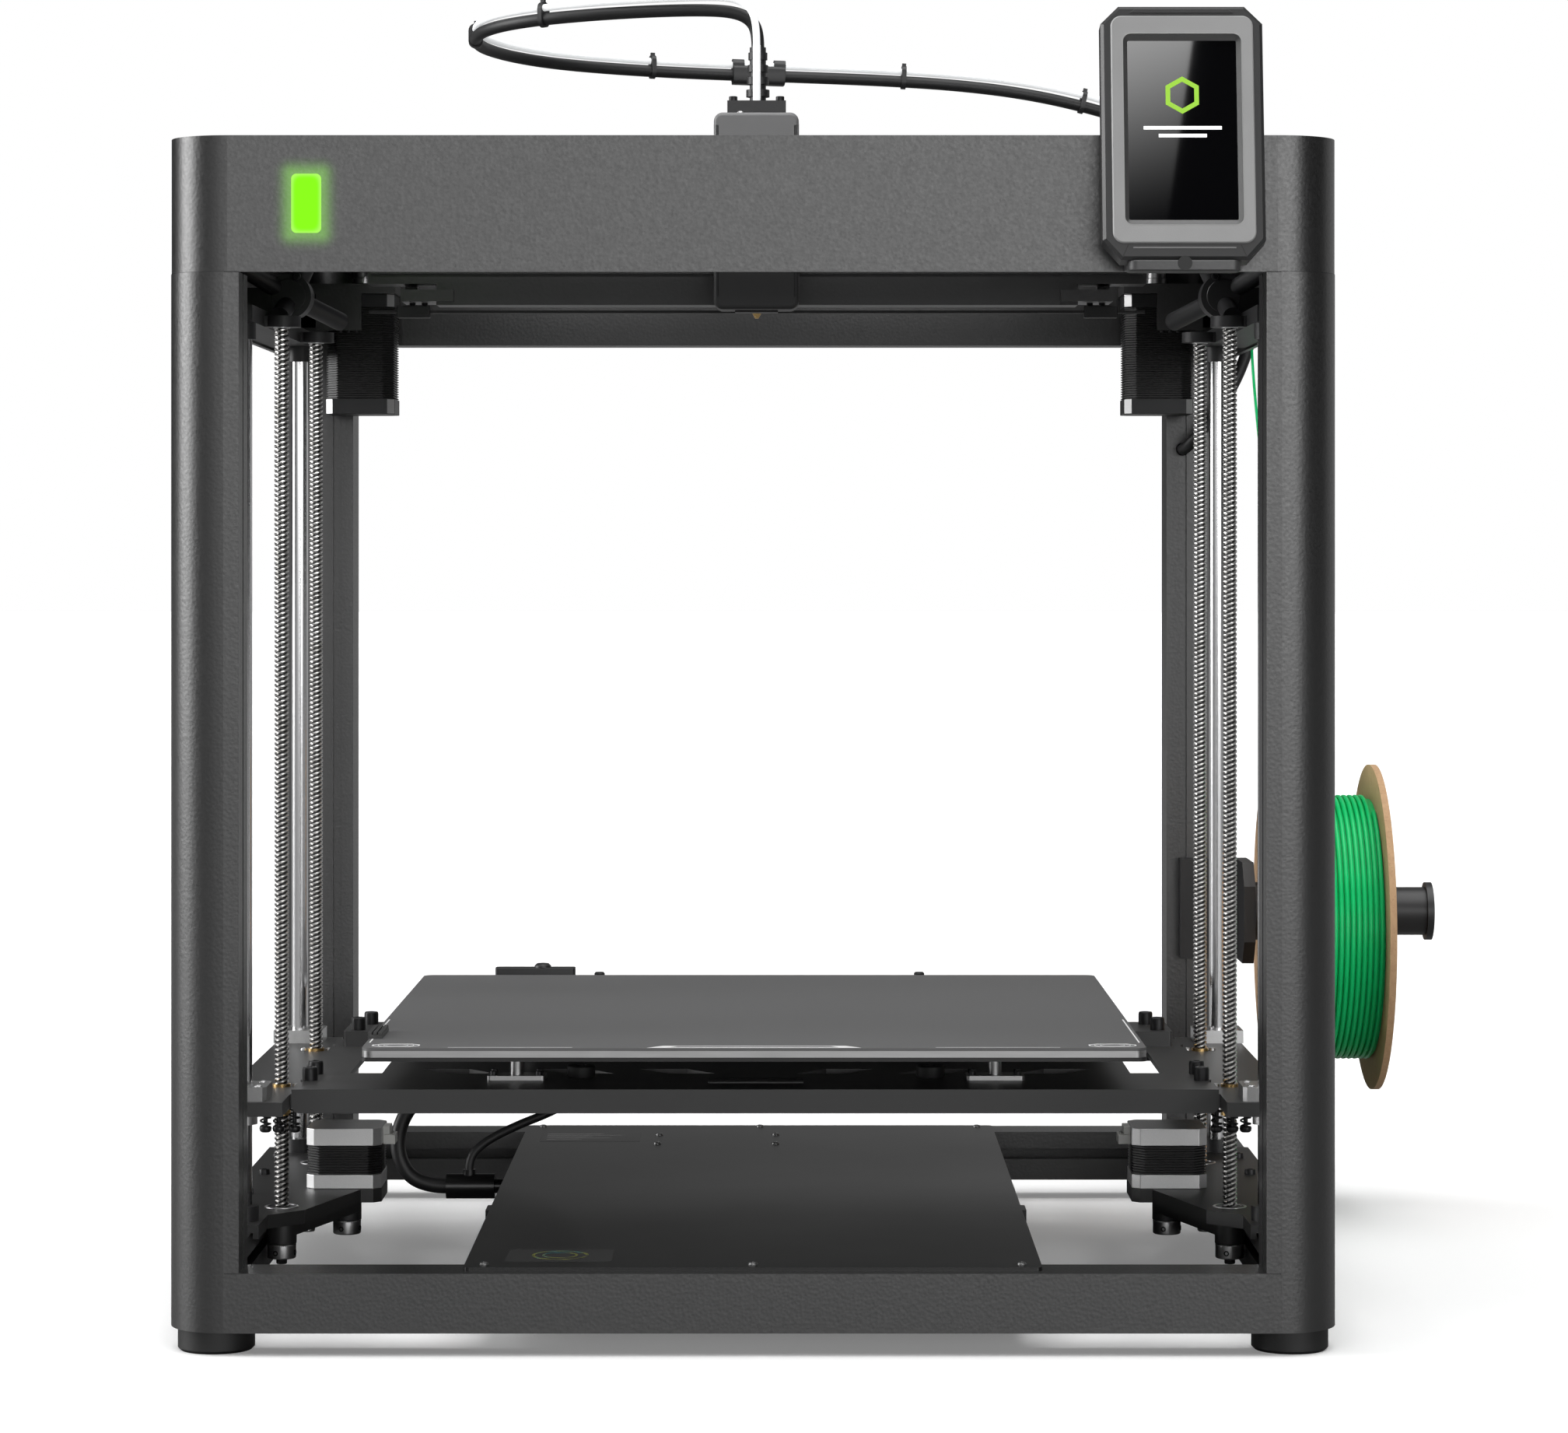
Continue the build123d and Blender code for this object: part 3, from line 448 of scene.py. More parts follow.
def wrinkle_paint(name, tone, depth=1.0, roughness=0.34):
    """Powder coat with a fine leather wrinkle, as on the frame."""
    f = Finish(name, tone, roughness, Specular_IOR_Level=1.0)
    broad = f.noise(9, 3)
    wrinkle = f.noise(620, 2)
    pits = f.cells(520)
    f.set("Base Color", f.between(broad * 0.4 + wrinkle * 0.6, scaled(tone, 0.7), scaled(tone, 1.3)))
    f.set("Roughness", wrinkle * 0.2 + (roughness - 0.1))
    f.bump(wrinkle * 0.6 + pits * 0.8, 0.0001 * depth, 0.55)
    return f


def from_light(f):
    """Millimetres right of and above the status light's middle, and its half width and height."""
    low, high = local("status_light")
    middle, half = (low + high) / 2, (high - low) / 2
    x = (f.part("X") - MIDDLE.x) / MM - middle.x
    z = f.part("Z") / MM - middle.z
    return x.size(), z.size(), half.x, half.z


def glowing_paint(name, tone):
    """The frame's paint with a painted glow of the status light round its lens, as emission."""
    reach = 0.075
    f = wrinkle_paint(name, tone)
    x, z, half_x, half_z = from_light(f)
    across, along = (x - half_x) * reach, (z - half_z) * reach
    past = ((across * (across > 0)) ** 2 + (along * (along > 0)) ** 2) ** 0.5
    # painted glow: emission on the paint, fading away from the lens
    glow = f.ramp(past, 1.0, 0.0) ** 3
    f.set("Emission Color", f.between(glow, (0.0, 0.0, 0.0), (0.12, 0.36, 0.02)))
    f.set("Emission Strength", 0.8 * SETTINGS.frame.light_strength)
    return f


def lamp_lens():
    """The status light: brighter in the middle than at its rim."""
    light = SETTINGS.frame.light_colour
    f = Finish("Lit green lens", (0.01, 0.03, 0.002), 0.5, Specular_IOR_Level=0.1)
    x, z, half_x, half_z = from_light(f)
    rim = f.ramp((x / half_x) ** 4 + (z / half_z) ** 8, 0.2, 1.0)
    f.set("Emission Color", f.between(rim, light, (0.42, 1.0, 0.12)))
    f.set("Emission Strength", SETTINGS.frame.light_strength)
    return f


def moulded_plastic(name, tone, roughness):
    """Injection moulding with a fine spark-eroded grain."""
    f = Finish(name, tone, roughness)
    fine = f.noise(1500, 2)
    broad = f.noise(25, 3)
    f.set("Base Color", f.between(broad, tone, scaled(tone, 1.25, 0.002)))
    f.set("Roughness", fine * 0.12 + (roughness - 0.06) + broad * 0.04)
    f.bump(fine, 0.00006, 0.5)
    return f


def cover_moulding():
    """The toolhead's cover: pale grey above the housing's rim, with painted shade below it, where the cover
    sits in shadow.
    """
    f = moulded_plastic("Toolhead cover moulding", (0.15, 0.15, 0.152), 0.42)
    above = f.ramp(f.part("Z"), 0.598, 0.606)
    mottle = f.noise(25, 3)
    # painted shade: near black for the lower cover, which lies in shadow
    painted_shade_below = f.between(mottle, (0.016, 0.016, 0.0165), (0.022, 0.022, 0.0225))
    pale = f.between(mottle, (0.14, 0.14, 0.142), (0.17, 0.17, 0.172))
    f.set("Base Color", f.between(above, painted_shade_below, pale))
    return f


def sheet_paint(name, tone, roughness):
    """Smooth satin powder coat on folded sheet metal."""
    f = Finish(name, tone, roughness)
    orange_peel = f.noise(260, 2)
    speckle = f.noise(2600, 1)
    broad = f.noise(6, 3)
    f.set("Base Color", f.between(speckle * 0.5 + broad * 0.5, scaled(tone, 0.85), scaled(tone, 1.2)))
    f.set("Roughness", broad * 0.08 + speckle * 0.06 + (roughness - 0.07))
    f.bump(orange_peel * 0.7 + speckle * 0.3, 0.00005, 0.45)
    return f


def polished_steel():
    f = Finish("Ground rod steel", (0.78, 0.78, 0.79), 0.12, 1.0)
    rings = f.noise(180, 2, (1, 1, 14))
    f.set("Roughness", rings * 0.1 + 0.08)
    f.bump(rings, 0.00001, 0.3)
    return f


def thread_steel():
    """Rolled threads: painted shade, near black, at the roots and bright steel on the crests."""
    f = Finish("Rolled screw steel", (0.72, 0.71, 0.7), 0.2, 1.0)
    stain = f.noise(90, 4)
    crest = f.node("ShaderNodeAttribute", {"attribute_name": "crest"}, {}, "Fac")
    polished = f.between(f.ramp(stain, 0.4, 0.75), (0.8, 0.79, 0.78), (0.5, 0.49, 0.47))
    # painted shade: dark grey where crest is low, at the thread's roots
    f.set("Base Color", f.between(f.ramp(crest, 0.0, 0.5), (0.06, 0.06, 0.06), polished))
    f.set("Roughness", stain * 0.18 + 0.13)
    return f


def cast(name, tone, metallic):
    """Shot-blasted die castings and blackened or zinc-plated steel."""
    return grained(name, scaled(tone, 0.86), scaled(tone, 1.08), (1700, 3), 0.32, 0.16, (0.00005, 0.5),
                   metallic=metallic)


def brushed_aluminium(name, tone, stretch):
    noise = 900, 3, stretch
    return grained(name, scaled(tone, 0.85), tone, noise, 0.22, 0.22, (0.00002, 0.4), metallic=1.0)


def sheet_coating():
    """The print sheet's textured coating: fine bright specks on dark grey."""
    tone = SETTINGS.bed.sheet_colour
    f = Finish("Textured print sheet", tone, 0.58)
    grit = f.noise(2300, 2)
    broad = f.noise(5, 2)
    specks = f.ramp(f.noise(3600, 1), 0.62, 0.8)
    base = f.between(broad, scaled(tone, 0.92), scaled(tone, 1.06))
    f.set("Base Color", f.between(specks * 0.5, base, scaled(tone, 1.5)))
    f.set("Roughness", grit * 0.16 + 0.5)
    f.bump(grit, 0.00009, 0.6)
    return f


def pressed_card():
    f = Finish("Pressed card", (0.5, 0.31, 0.17), 0.8)
    fibres = f.noise(500, 4, (1, 1, 0.25))
    flecks = f.ramp(f.noise(900, 2), 0.6, 0.72)
    base = f.between(fibres, (0.42, 0.25, 0.13), (0.6, 0.39, 0.22))
    f.set("Base Color", f.between(flecks * 0.45, base, (0.28, 0.16, 0.08)))
    f.set("Roughness", fibres * 0.15 + 0.72)
    f.bump(fibres, 0.0001, 0.6)
    return f


def soft_rubber(name, tone, roughness):
    f = Finish(name, tone, roughness)
    bloom = f.noise(45, 4)
    fine = f.noise(1400, 2)
    f.set("Base Color", f.between(bloom, tone, scaled(tone, 1.6, 0.003)))
    f.set("Roughness", bloom * 0.14 + (roughness - 0.07))
    f.bump(fine, 0.00004, 0.4)
    return f


def milky_tube():
    """White tube with a painted glow: emission lights it a little, though it gives no light of its own."""
    f = Finish("Milky tube", (0.8, 0.81, 0.82), 0.6)
    cloud = f.noise(70, 3)
    f.set("Base Color", f.between(cloud, (0.74, 0.75, 0.77), (0.88, 0.89, 0.9)))
    f.set("Roughness", cloud * 0.14 + 0.55)
    # painted light: emission that brightens the tube
    f.set("Emission Color", f.between(cloud, (0.42, 0.43, 0.43), (0.52, 0.53, 0.53)))
    f.set("Emission Strength", 0.9)
    return f


def red_rocker():
    f = Finish("Red rocker", (0.5, 0.01, 0.008), 0.22, Coat_Weight=0.4)
    cloud = f.noise(120, 2)
    f.set("Base Color", f.between(cloud, (0.42, 0.006, 0.006), (0.62, 0.02, 0.012)))
    return f


def solder_mask():
    f = Finish("Solder mask", (0.01, 0.09, 0.03), 0.3)
    tracks = f.ramp(f.cells(350, 0.05), 0.3, 0.36)
    f.set("Base Color", f.between(tracks, (0.008, 0.07, 0.025), (0.015, 0.13, 0.045)))
    return f


def black_glass():
    """Polished glass over a dark screen, a little smeared."""
    f = Finish("Screen glass", (0.002, 0.002, 0.0025), 0.03)
    smear = f.noise(14, 4)
    f.set("Roughness", smear * 0.02 + 0.01)
    return f


def lit_pixels(name, colour, strength):
    f = Finish(name, scaled(colour, 0.4), 0.3)
    grid = f.noise(2200, 1)
    f.set("Emission Color", f.between(grid, colour, tuple(min(1.0, 1.2 * c) for c in colour)))
    f.set("Emission Strength", strength)
    return f


def printed_ink(name, tone, roughness=0.5):
    return grained(name, scaled(tone, 0.9), tone, (1800, 2), roughness - 0.05, 0.1)


def shimmer_film():
    """A holographic seal: bands of colour that run across the film."""
    f = Finish("Shimmer film", (0.1, 0.1, 0.1), 0.25, 0.7)
    band = f.noise(46, 2)
    warm = f.between(f.ramp(band, 0.35, 0.5), (0.02, 0.02, 0.05), (0.3, 0.32, 0.05))
    f.set("Base Color", f.between(f.ramp(band, 0.5, 0.68), warm, (0.02, 0.2, 0.22)))
    return f


def make_finishes():
    grey = SETTINGS.frame.paint_colour
    FINISHES.update(
        frame=wrinkle_paint("Wrinkle powder coat", grey),
        front=glowing_paint("Wrinkle powder coat by the light", grey),
        bracket=wrinkle_paint("Bracket wrinkle coat", scaled(grey, 2.2), 0.8),
        sheet=sheet_paint("Satin black sheet", (0.006, 0.006, 0.006), 0.3),
        bed=sheet_paint("Bed carrier coat", (0.03, 0.03, 0.03), 0.42),
        plate=sheet_paint("Drive plate coat", (0.016, 0.016, 0.016), 0.45),
        plastic=moulded_plastic("Black moulding", (0.012, 0.012, 0.013), 0.42),
        shell=moulded_plastic("Screen shell moulding", (0.02, 0.02, 0.0205), 0.36),
        bezel=moulded_plastic("Grey bezel moulding", (0.26, 0.26, 0.26), 0.4),
        cover=cover_moulding(),
        coarse=wrinkle_paint("Screen foot moulding", (0.02, 0.02, 0.021), 1.2, 0.5),
        recess=wrinkle_paint("Screen recess grain", (0.035, 0.035, 0.035), 0.8, 0.5),
        rod=polished_steel(),
        thread=thread_steel(),
        collar=brushed_aluminium("Bright collar", (0.8, 0.8, 0.81), (1, 1, 8)),
        hub=brushed_aluminium("Turned hub", (0.42, 0.42, 0.42), (1, 1, 10)),
        cap=cast("Cast motor cap", (0.6, 0.6, 0.6), 0.85),
        dark_cap=cast("Black motor cap", (0.02, 0.02, 0.021), 0.3),
        bright_cut=cast("Milled cap corner", (0.55, 0.55, 0.55), 0.9),
        laminations=grained("Varnished laminations", (0.005, 0.005, 0.005), (0.014, 0.014, 0.0145),
                            (120, 3, (1, 1, 12)), 0.28, 0.1),
        heater=brushed_aluminium("Milled heater plate", (0.36, 0.36, 0.36), (0.05, 1, 1)),
        bearing=brushed_aluminium("Bearing block", (0.55, 0.55, 0.55), (1, 0.1, 1)),
        support=brushed_aluminium("Support post", (0.4, 0.4, 0.4), (1, 1, 6)),
        brass=grained("Turned brass", (0.72, 0.5, 0.22), (0.5, 0.33, 0.14), (400, 3), 0.18, 0.2,
                      metallic=1.0),
        pei=sheet_coating(),
        card=pressed_card(),
        filament=grained("Green filament", (0.002, 0.5, 0.13), (0.005, 0.66, 0.2), (60, 3), 0.28, 0.12,
                         Specular_IOR_Level=0.35),
        recess_line=moulded_plastic("Screen slot", (0.13, 0.13, 0.13), 0.45),
        rubber=soft_rubber("Foot rubber", (0.006, 0.006, 0.006), 0.55),
        belt=soft_rubber("Belt rubber", (0.008, 0.008, 0.008), 0.55),
        jacket=soft_rubber("Cable jacket", (0.006, 0.006, 0.0065), 0.5),
        tube=milky_tube(),
        lamp=lamp_lens(),
        rocker=red_rocker(),
        board=solder_mask(),
        glass=black_glass(),
        screen_green=lit_pixels("Lit green", (0.3, 0.6, 0.04), 0.75),
        screen_white=lit_pixels("Lit white", (0.9, 0.9, 0.9), 1.0),
        bolt=cast("Black bolt steel", (0.02, 0.02, 0.021), 0.6),
        bright_screw=cast("Zinc screw steel", (0.5, 0.5, 0.5), 1.0),
        lid_screw=cast("Dull screw steel", (0.16, 0.16, 0.16), 0.9),
        white_ink=printed_ink("White print", (0.85, 0.85, 0.85)),
        grey_ink=printed_ink("Grey print", (0.2, 0.2, 0.2)),
        label=printed_ink("Black label", (0.02, 0.02, 0.02), 0.35),
        shimmer=shimmer_film(),
        connector=moulded_plastic("White connector", (0.42, 0.42, 0.4), 0.45),
    )
    GROWERS.update(scatter=scatter_grower(), coil=coil_grower(), row=row_grower())


# ---- Settings


def colour(name, description, default):
    return FloatVectorProperty(
        name=name, description=description, default=default, subtype="COLOR", min=0, max=1, size=3
    )


class PRINTER_frame_settings(bpy.types.PropertyGroup):
    paint_colour: colour("Paint", "Powder coat of the frame", (0.007, 0.007, 0.0071))
    light_colour: colour("Light", "Status light", (0.25, 1.0, 0.004))
    light_strength: FloatProperty(name="Light strength", description="Status light", default=1.0, min=0)


class PRINTER_drive_settings(bpy.types.PropertyGroup):
    screw_lead: FloatProperty(name="Lead", description="Rise in one turn of a screw, mm", default=8.0, min=1)
    screw_starts: IntProperty(name="Starts", description="Threads side by side", default=3, min=1)
    thread_depth: FloatProperty(name="Depth", description="Thread depth, mm", default=0.95, min=0.1)
    motor_size: FloatProperty(name="Motor", description="Width of a motor face, mm", default=42.3, min=20)


class PRINTER_bed_settings(bpy.types.PropertyGroup):
    sheet_colour: colour("Print sheet", "Textured coating of the print sheet", (0.105, 0.105, 0.106))
    spring_turns: FloatProperty(name="Spring turns", description="Turns of a bed spring", default=4.0, min=1)


class PRINTER_spool_settings(bpy.types.PropertyGroup):
    strand: FloatProperty(name="Turn", description="Thickness of a visible turn, mm", default=3.0, min=1)
    gap: FloatProperty(name="Gap", description="Space between two turns, mm", default=0.5, min=0)


class PRINTER_stage_settings(bpy.types.PropertyGroup):
    lens: FloatProperty(name="Lens", description="Focal length, mm", default=103.0, min=10)
    front: FloatProperty(name="Front", description="Wide light in front", default=5.6, min=0)
    strip: FloatProperty(name="Strip", description="Light on the left", default=8.0, min=0)
    top_light: FloatProperty(name="Top", description="Soft light from above, W/m2", default=3.4, min=0)
    ambient: FloatProperty(name="Ambient", description="Light from all round", default=0.015, min=0)
    backdrop: FloatProperty(name="Backdrop", description="Light from behind on the right", default=0.4, min=0)


class PRINTER_settings(bpy.types.PropertyGroup):
    frame: PointerProperty(type=PRINTER_frame_settings)
    drive: PointerProperty(type=PRINTER_drive_settings)
    bed: PointerProperty(type=PRINTER_bed_settings)
    spool: PointerProperty(type=PRINTER_spool_settings)
    stage: PointerProperty(type=PRINTER_stage_settings)


class Builder:
    """What the operators share: they give CAD nodes their finishes, then build pieces."""

    bl_options = {"REGISTER", "UNDO"}
    coats = {}

    def execute(self, context):
        for finish, nodes in self.coats.items():
            for node in nodes.split():
                painted(frame["nodes"][node].data, finish)
        self.build()
        return {"FINISHED"}


# ---- Small shapes


def cap_bolt(r, height):
    """A cap bolt's head standing on z 0, with a hex socket in its top."""
    corners = circle(0.52 * r, 6)
    hexagon = []
    for a, b in zip(corners, corners[1:] + corners[:1]):
        hexagon += [a, ((a[0] + 2 * b[0]) / 3, (a[1] + 2 * b[1]) / 3)]
    rings = [(r, 0), (r, 0.82 * height), (0.95 * r, 0.95 * height), (0.86 * r, height)]
    layers = [(circle(radius, 12), z) for radius, z in rings]
    return Shape().stack(layers + [(hexagon, height), (hexagon, 0.45 * height)])


def pan_screw(r, height):
    """A low dome-headed screw with a socket."""
    profile = [(0, 0), (r, 0), (r, 0.35 * height), (0.85 * r, 0.78 * height), (0.55 * r, height)]
    profile += [(0.42 * r, height), (0.38 * r, 0.45 * height), (0, 0.45 * height)]
    return Shape().turned(profile, steps=16)


def rounded_at(x, y, width, depth, r, steps=6):
    return [(x + px, y + py) for px, py in rounded(width, depth, r, steps)]


# ---- Frame


class PRINTER_OT_frame(Builder, bpy.types.Operator):
    """Paints the frame and adds its seams"""

    bl_idname = "printer.frame"
    bl_label = "Frame"
    coats = {
        "frame": "base_corners base_rails corner_posts housing_sides housing_rear",
        "front": "housing_front",
        "rubber": "feet",
        "lamp": "status_light",
        "bracket": "motor_brackets",
        "plastic": "z_top_brackets",
    }

    def build(self):
        """Thin lines round the front corners, where the housing and the base meet the posts."""
        front = local("housing_front")
        half = 0.25
        for name, z in (("housing_seam", front[0].z), ("base_seam", local("corner_posts")[0].z)):
            shape = Shape()
            for side in (-1, 1):
                shape.prism(self.corner_line(side, *front), z - half, z + half)
            shape.piece(name, "root", "rubber", "frame_paint")

    def corner_line(self, side, low, high):
        """A thin band round a front corner of the frame, a hair proud of it."""
        start, run, r, proud, thick, steps = 258.0, 36, 31.0, 0.04, 0.6, 12
        x, y = high.x - r, low.y + r
        outer = [(side * start, low.y - proud)]
        for i in range(steps + 1):
            a = -TAU / 4 + i / steps * TAU / 4
            outer.append((side * (x + (r + proud) * math.cos(a)), y + (r + proud) * math.sin(a)))
        outer.append((side * (high.x + proud), low.y + run))
        inward = [(px - side * thick if abs(px) > x else px, py + thick) for px, py in reversed(outer)]
        return outer + inward


# ---- Z drive

SCREW_X, SCREW_Y = 259.5, 89


class PRINTER_OT_z_drive(Builder, bpy.types.Operator):
    """Cuts the lead screws' threads and finishes rods, plates and pulleys"""

    bl_idname = "printer.z_drive"
    bl_label = "Z drive"
    coats = {"rod": "guide_rods", "plastic": "rod_clamps", "plate": "z_base_plates", "belt": "drive_belts"}

    def build(self):
        for side in ("left", "right"):
            for end in ("front", "rear"):
                self.lead_screw(f"lead_screw_{end}_{side}", f"screw_{end}_{side}")
            self.pulley(f"z_motor_pulley_{side}", f"z_pulley_{side}")
        self.plate_details()

    def lead_screw(self, node, body):
        """The thread as one skin over many rings, with a plain tip, a collar and a pulley."""
        drive = SETTINGS.drive
        low, high = local(node)
        x, y = (low.x + high.x) / 2, (low.y + high.y) / 2
        r, step, plain, depth = 4.0, 0.5, 4, drive.thread_depth
        profile = [(0.02, r), (0.3, r), (0.5, r - 0.55 * depth), (0.62, r - depth),
                   (0.84, r - depth), (0.93, r - 0.45 * depth)]
        rings = []
        for level in range(int((high.z - low.z - 2 * plain) / step) + 1):
            z = low.z + plain + level * step
            ring = toothed(drive.screw_starts, profile, z / drive.screw_lead * TAU, x, y)
            rings.append([(px, py, z) for px, py in ring])
        shape = Shape().rings(rings)
        place = Matrix.Translation((x, y, 0))
        tip = [(0, low.z), (2.6, low.z), (3.0, low.z + 0.5), (3.0, low.z + 5), (0, low.z + 5)]
        shape.turned(tip, place, 20)
        thread = shape.piece(node + "_thread", body, "thread", "screw_steel", replaces=[node], smooth=50)
        # crest runs from 0 at the thread's roots to 1 on its crests; the finish paints shade into the roots
        # with it
        crest = thread.data.attributes.new("crest", "FLOAT", "POINT")
        axis = at(x, y, 0)
        for entry, vertex in zip(crest.data, thread.data.vertices):
            out = (vertex.co - axis).xy.length / MM
            entry.value = max(0.0, (out - r + depth) / depth)
        collar = high.z - 10.5
        rim = [(3.6, collar), (4.7, collar), (4.7, collar + 5.5), (3.6, collar + 5.5), (3.6, collar)]
        Shape().turned(rim, place, 32).piece(node + "_collar", body, "collar", "aluminium", bevel=0.15)
        self.hub(node + "_hub", body, x, y)

    def hub(self, name, body, x, y):
        """A toothed pulley with its clamping hub below."""
        low, top, pulley_top = 18.2, 26.1, 40.8
        profile = [(0, low), (3.4, low), (7.3, low), (7.9, low + 0.6), (7.9, top - 1), (7.7, top), (0, top)]
        shape = Shape().turned(profile, Matrix.Translation((x, y, 0)), 48)
        shape.prism(toothed(16, ((0.0, 4.9), (0.45, 4.9), (0.55, 4.2), (0.9, 4.2)), 0, x, y), top, pulley_top)
        shape.prism(toothed(48, ((0.0, 8.0), (0.5, 7.75)), 0, x, y), top - 0.9, top - 0.05)
        shape.piece(name, body, "hub", "aluminium", bevel=0.15)
        set_screw = [(0, 0), (1.5, 0), (1.5, 0.25), (0.8, 0.25), (0.8, -0.2), (0, -0.2)]
        outward = [(math.cos(a), math.sin(a), 0) for a in (-1.9, -0.3)]
        places = [((x + 7.85 * c, y + 7.85 * s, 21.6), (c, s, 0)) for c, s, _ in outward]
        small = Shape().turned(set_screw, steps=12)
        repeated(name + "_set_screws", small, places, body, "bolt", "aluminium")

    def pulley(self, node, body):
        low, high = local(node)
        x, y = (low.x + high.x) / 2, (low.y + high.y) / 2
        self.hub(node + "_hub", body, x, y)
        profile = [(0, low.z), (2.1, low.z), (2.5, low.z + 0.4), (2.5, high.z), (0, high.z)]
        shaft = Shape().turned(profile, Matrix.Translation((x, y, 0)), 24)
        shaft.piece(node + "_shaft", body, "rod", "ground_steel", replaces=[node])

    def plate_details(self):
        """Bearing rings, idler screws and plate bolts on both base plates."""
        top = local("z_base_plates")[1].z
        screws = both_sides([(SCREW_X, y, top) for y in (-SCREW_Y, SCREW_Y)])
        idlers = both_sides([(250, y, 32.2) for y in (-45, 45)])
        bolts = both_sides([(284, y, top) for y in (-110, -40, 40, 110)])
        ring = [(7.9, 0), (9.3, 0), (9.3, 0.3), (9.0, 0.45), (8.2, 0.45), (7.9, 0.3), (7.9, 0)]
        seat = [(4.3, 0), (7.9, 0), (7.9, 0.15), (4.3, 0.15), (4.3, 0)]
        idler = [(0, -6), (3.6, -6), (4.2, -5.4), (4.2, -1.2), (5.6, -1.0), (5.6, 0), (0, 0)]
        for name, profile, steps, places, finish, slot in (
            ("plate_bearing_rings", ring, 32, screws, "collar", "aluminium"),
            ("plate_bearing_seats", seat, 32, screws, "bolt", "black_paint"),
            ("plate_idler_buttons", idler, 24, idlers, "hub", "aluminium"),
        ):
            repeated(name, Shape().turned(profile, steps=steps), places, "root", finish, slot)
        repeated("plate_bolts", cap_bolt(3.2, 3.0), bolts, "root", "bolt", "black_paint")


# ---- Motors


class PRINTER_OT_motors(Builder, bpy.types.Operator):
    """Builds the stepper motors with their caps, laminations and connectors"""

    bl_idname = "printer.motors"
    bl_label = "Motors"

    def build(self):
        z_drive = (232.5, 0.0), (46.3, 80.1)
        gantry = (245.5, 232.0), (489.6, 563.3)
        self.pair("z_motors", *z_drive, 7.9, 9.7, "cap")
        self.connectors("z_motors", *z_drive)
        self.pair("xy_motors", *gantry, 9.4, 8.0, "dark_cap")
        self.cut_corners("xy_motors", *gantry, 9.4, 8.0)

    def pair(self, node, spot, ends, low_cap, high_cap, finish):
        """Two caps with a core between them, and a stack of laminations round the core."""
        width, (x, y), (z0, z1) = SETTINGS.drive.motor_size, spot, ends
        core = z0 + low_cap, z1 - high_cap
        sides = [Matrix.Translation((side * x, y, 0)) for side in (-1, 1)]
        shape = Shape()
        for place in sides:
            for a, b in ((z0, core[0]), (core[1], z1)):
                shape.prism(cut_square(width, 4.6), a, b, place)
        shape.piece(node + "_caps", "root", finish, "motor_steel", bevel=0.35, replaces=[node])
        shape = Shape()
        for place in sides:
            shape.prism(cut_square(width - 2.2, 6.4), *core, place)
        shape.piece(node + "_core", "root", "laminations", "motor_steel")
        count = int((z1 - z0 - low_cap - high_cap) / 1.45)
        step = (z1 - z0 - low_cap - high_cap) / count
        sheet = [(2.1, 0.0), (0.4, 0.4), (0.4, 0.75), (2.1, 1.1)]
        for place, label in zip(sides, ("left", "right")):
            part = prototype(Shape().stack([(cut_square(width - inset, 6.6), z) for inset, z in sheet]))
            mesh = GROWERS["row"].grown(
                node, bpy.data.meshes.new("row"), part=part, count=count, step=(0, 0, step),
                finish=FINISHES["laminations"].material)
            bpy.data.objects.remove(part)
            mesh.transform(TO_ROW @ place @ Matrix.Translation((0, 0, z0 + low_cap + 0.2)))
            dressed(f"{node}_laminations_{label}", mesh, "root", "laminations", "motor_steel", smooth=20)

    def cut_corners(self, node, spot, ends, low_cap, high_cap):
        """Bright milled faces on the front corners of both caps."""
        (x, y), (z0, z1), inset = spot, ends, 0.3
        flat = SETTINGS.drive.motor_size / 2 - 2.3 + 0.02
        strip = [(-2.9, -0.03), (2.9, -0.03), (2.9, 0.2), (-2.9, 0.2)]
        shape = Shape()
        for side in (-1, 1):
            for sx in (-1, 1):
                corner = Matrix.Translation((side * x + sx * flat, y - flat, 0))
                turn = corner @ Matrix.Rotation(sx * TAU / 8, 4, "Z")
                for a, b in ((z0, z0 + low_cap), (z1 - high_cap, z1)):
                    shape.prism(strip, a + inset, b - inset, turn)
        shape.piece(node + "_cut_corners", "root", "bright_cut", "motor_steel")

    def connectors(self, node, spot, ends):
        """The plug socket and plug on each motor's inner side."""
        (x, y), top = spot, ends[1]
        parts = (3.8, 7.8, -4.9, -0.3), (6.8, 7.8, -10.4, -5.1), (5.2, 7.0, -6.0, -4.6)
        shape = Shape()
        for side in (-1, 1):
            face = side * (x - SETTINGS.drive.motor_size / 2)
            for depth, half, a, b in parts:
                shape.box((face, y - half, top + a), (face - side * depth, y + half, top + b))
        shape.piece(node + "_connectors", "root", "connector", "motor_steel", bevel=0.25)


# ---- Bed


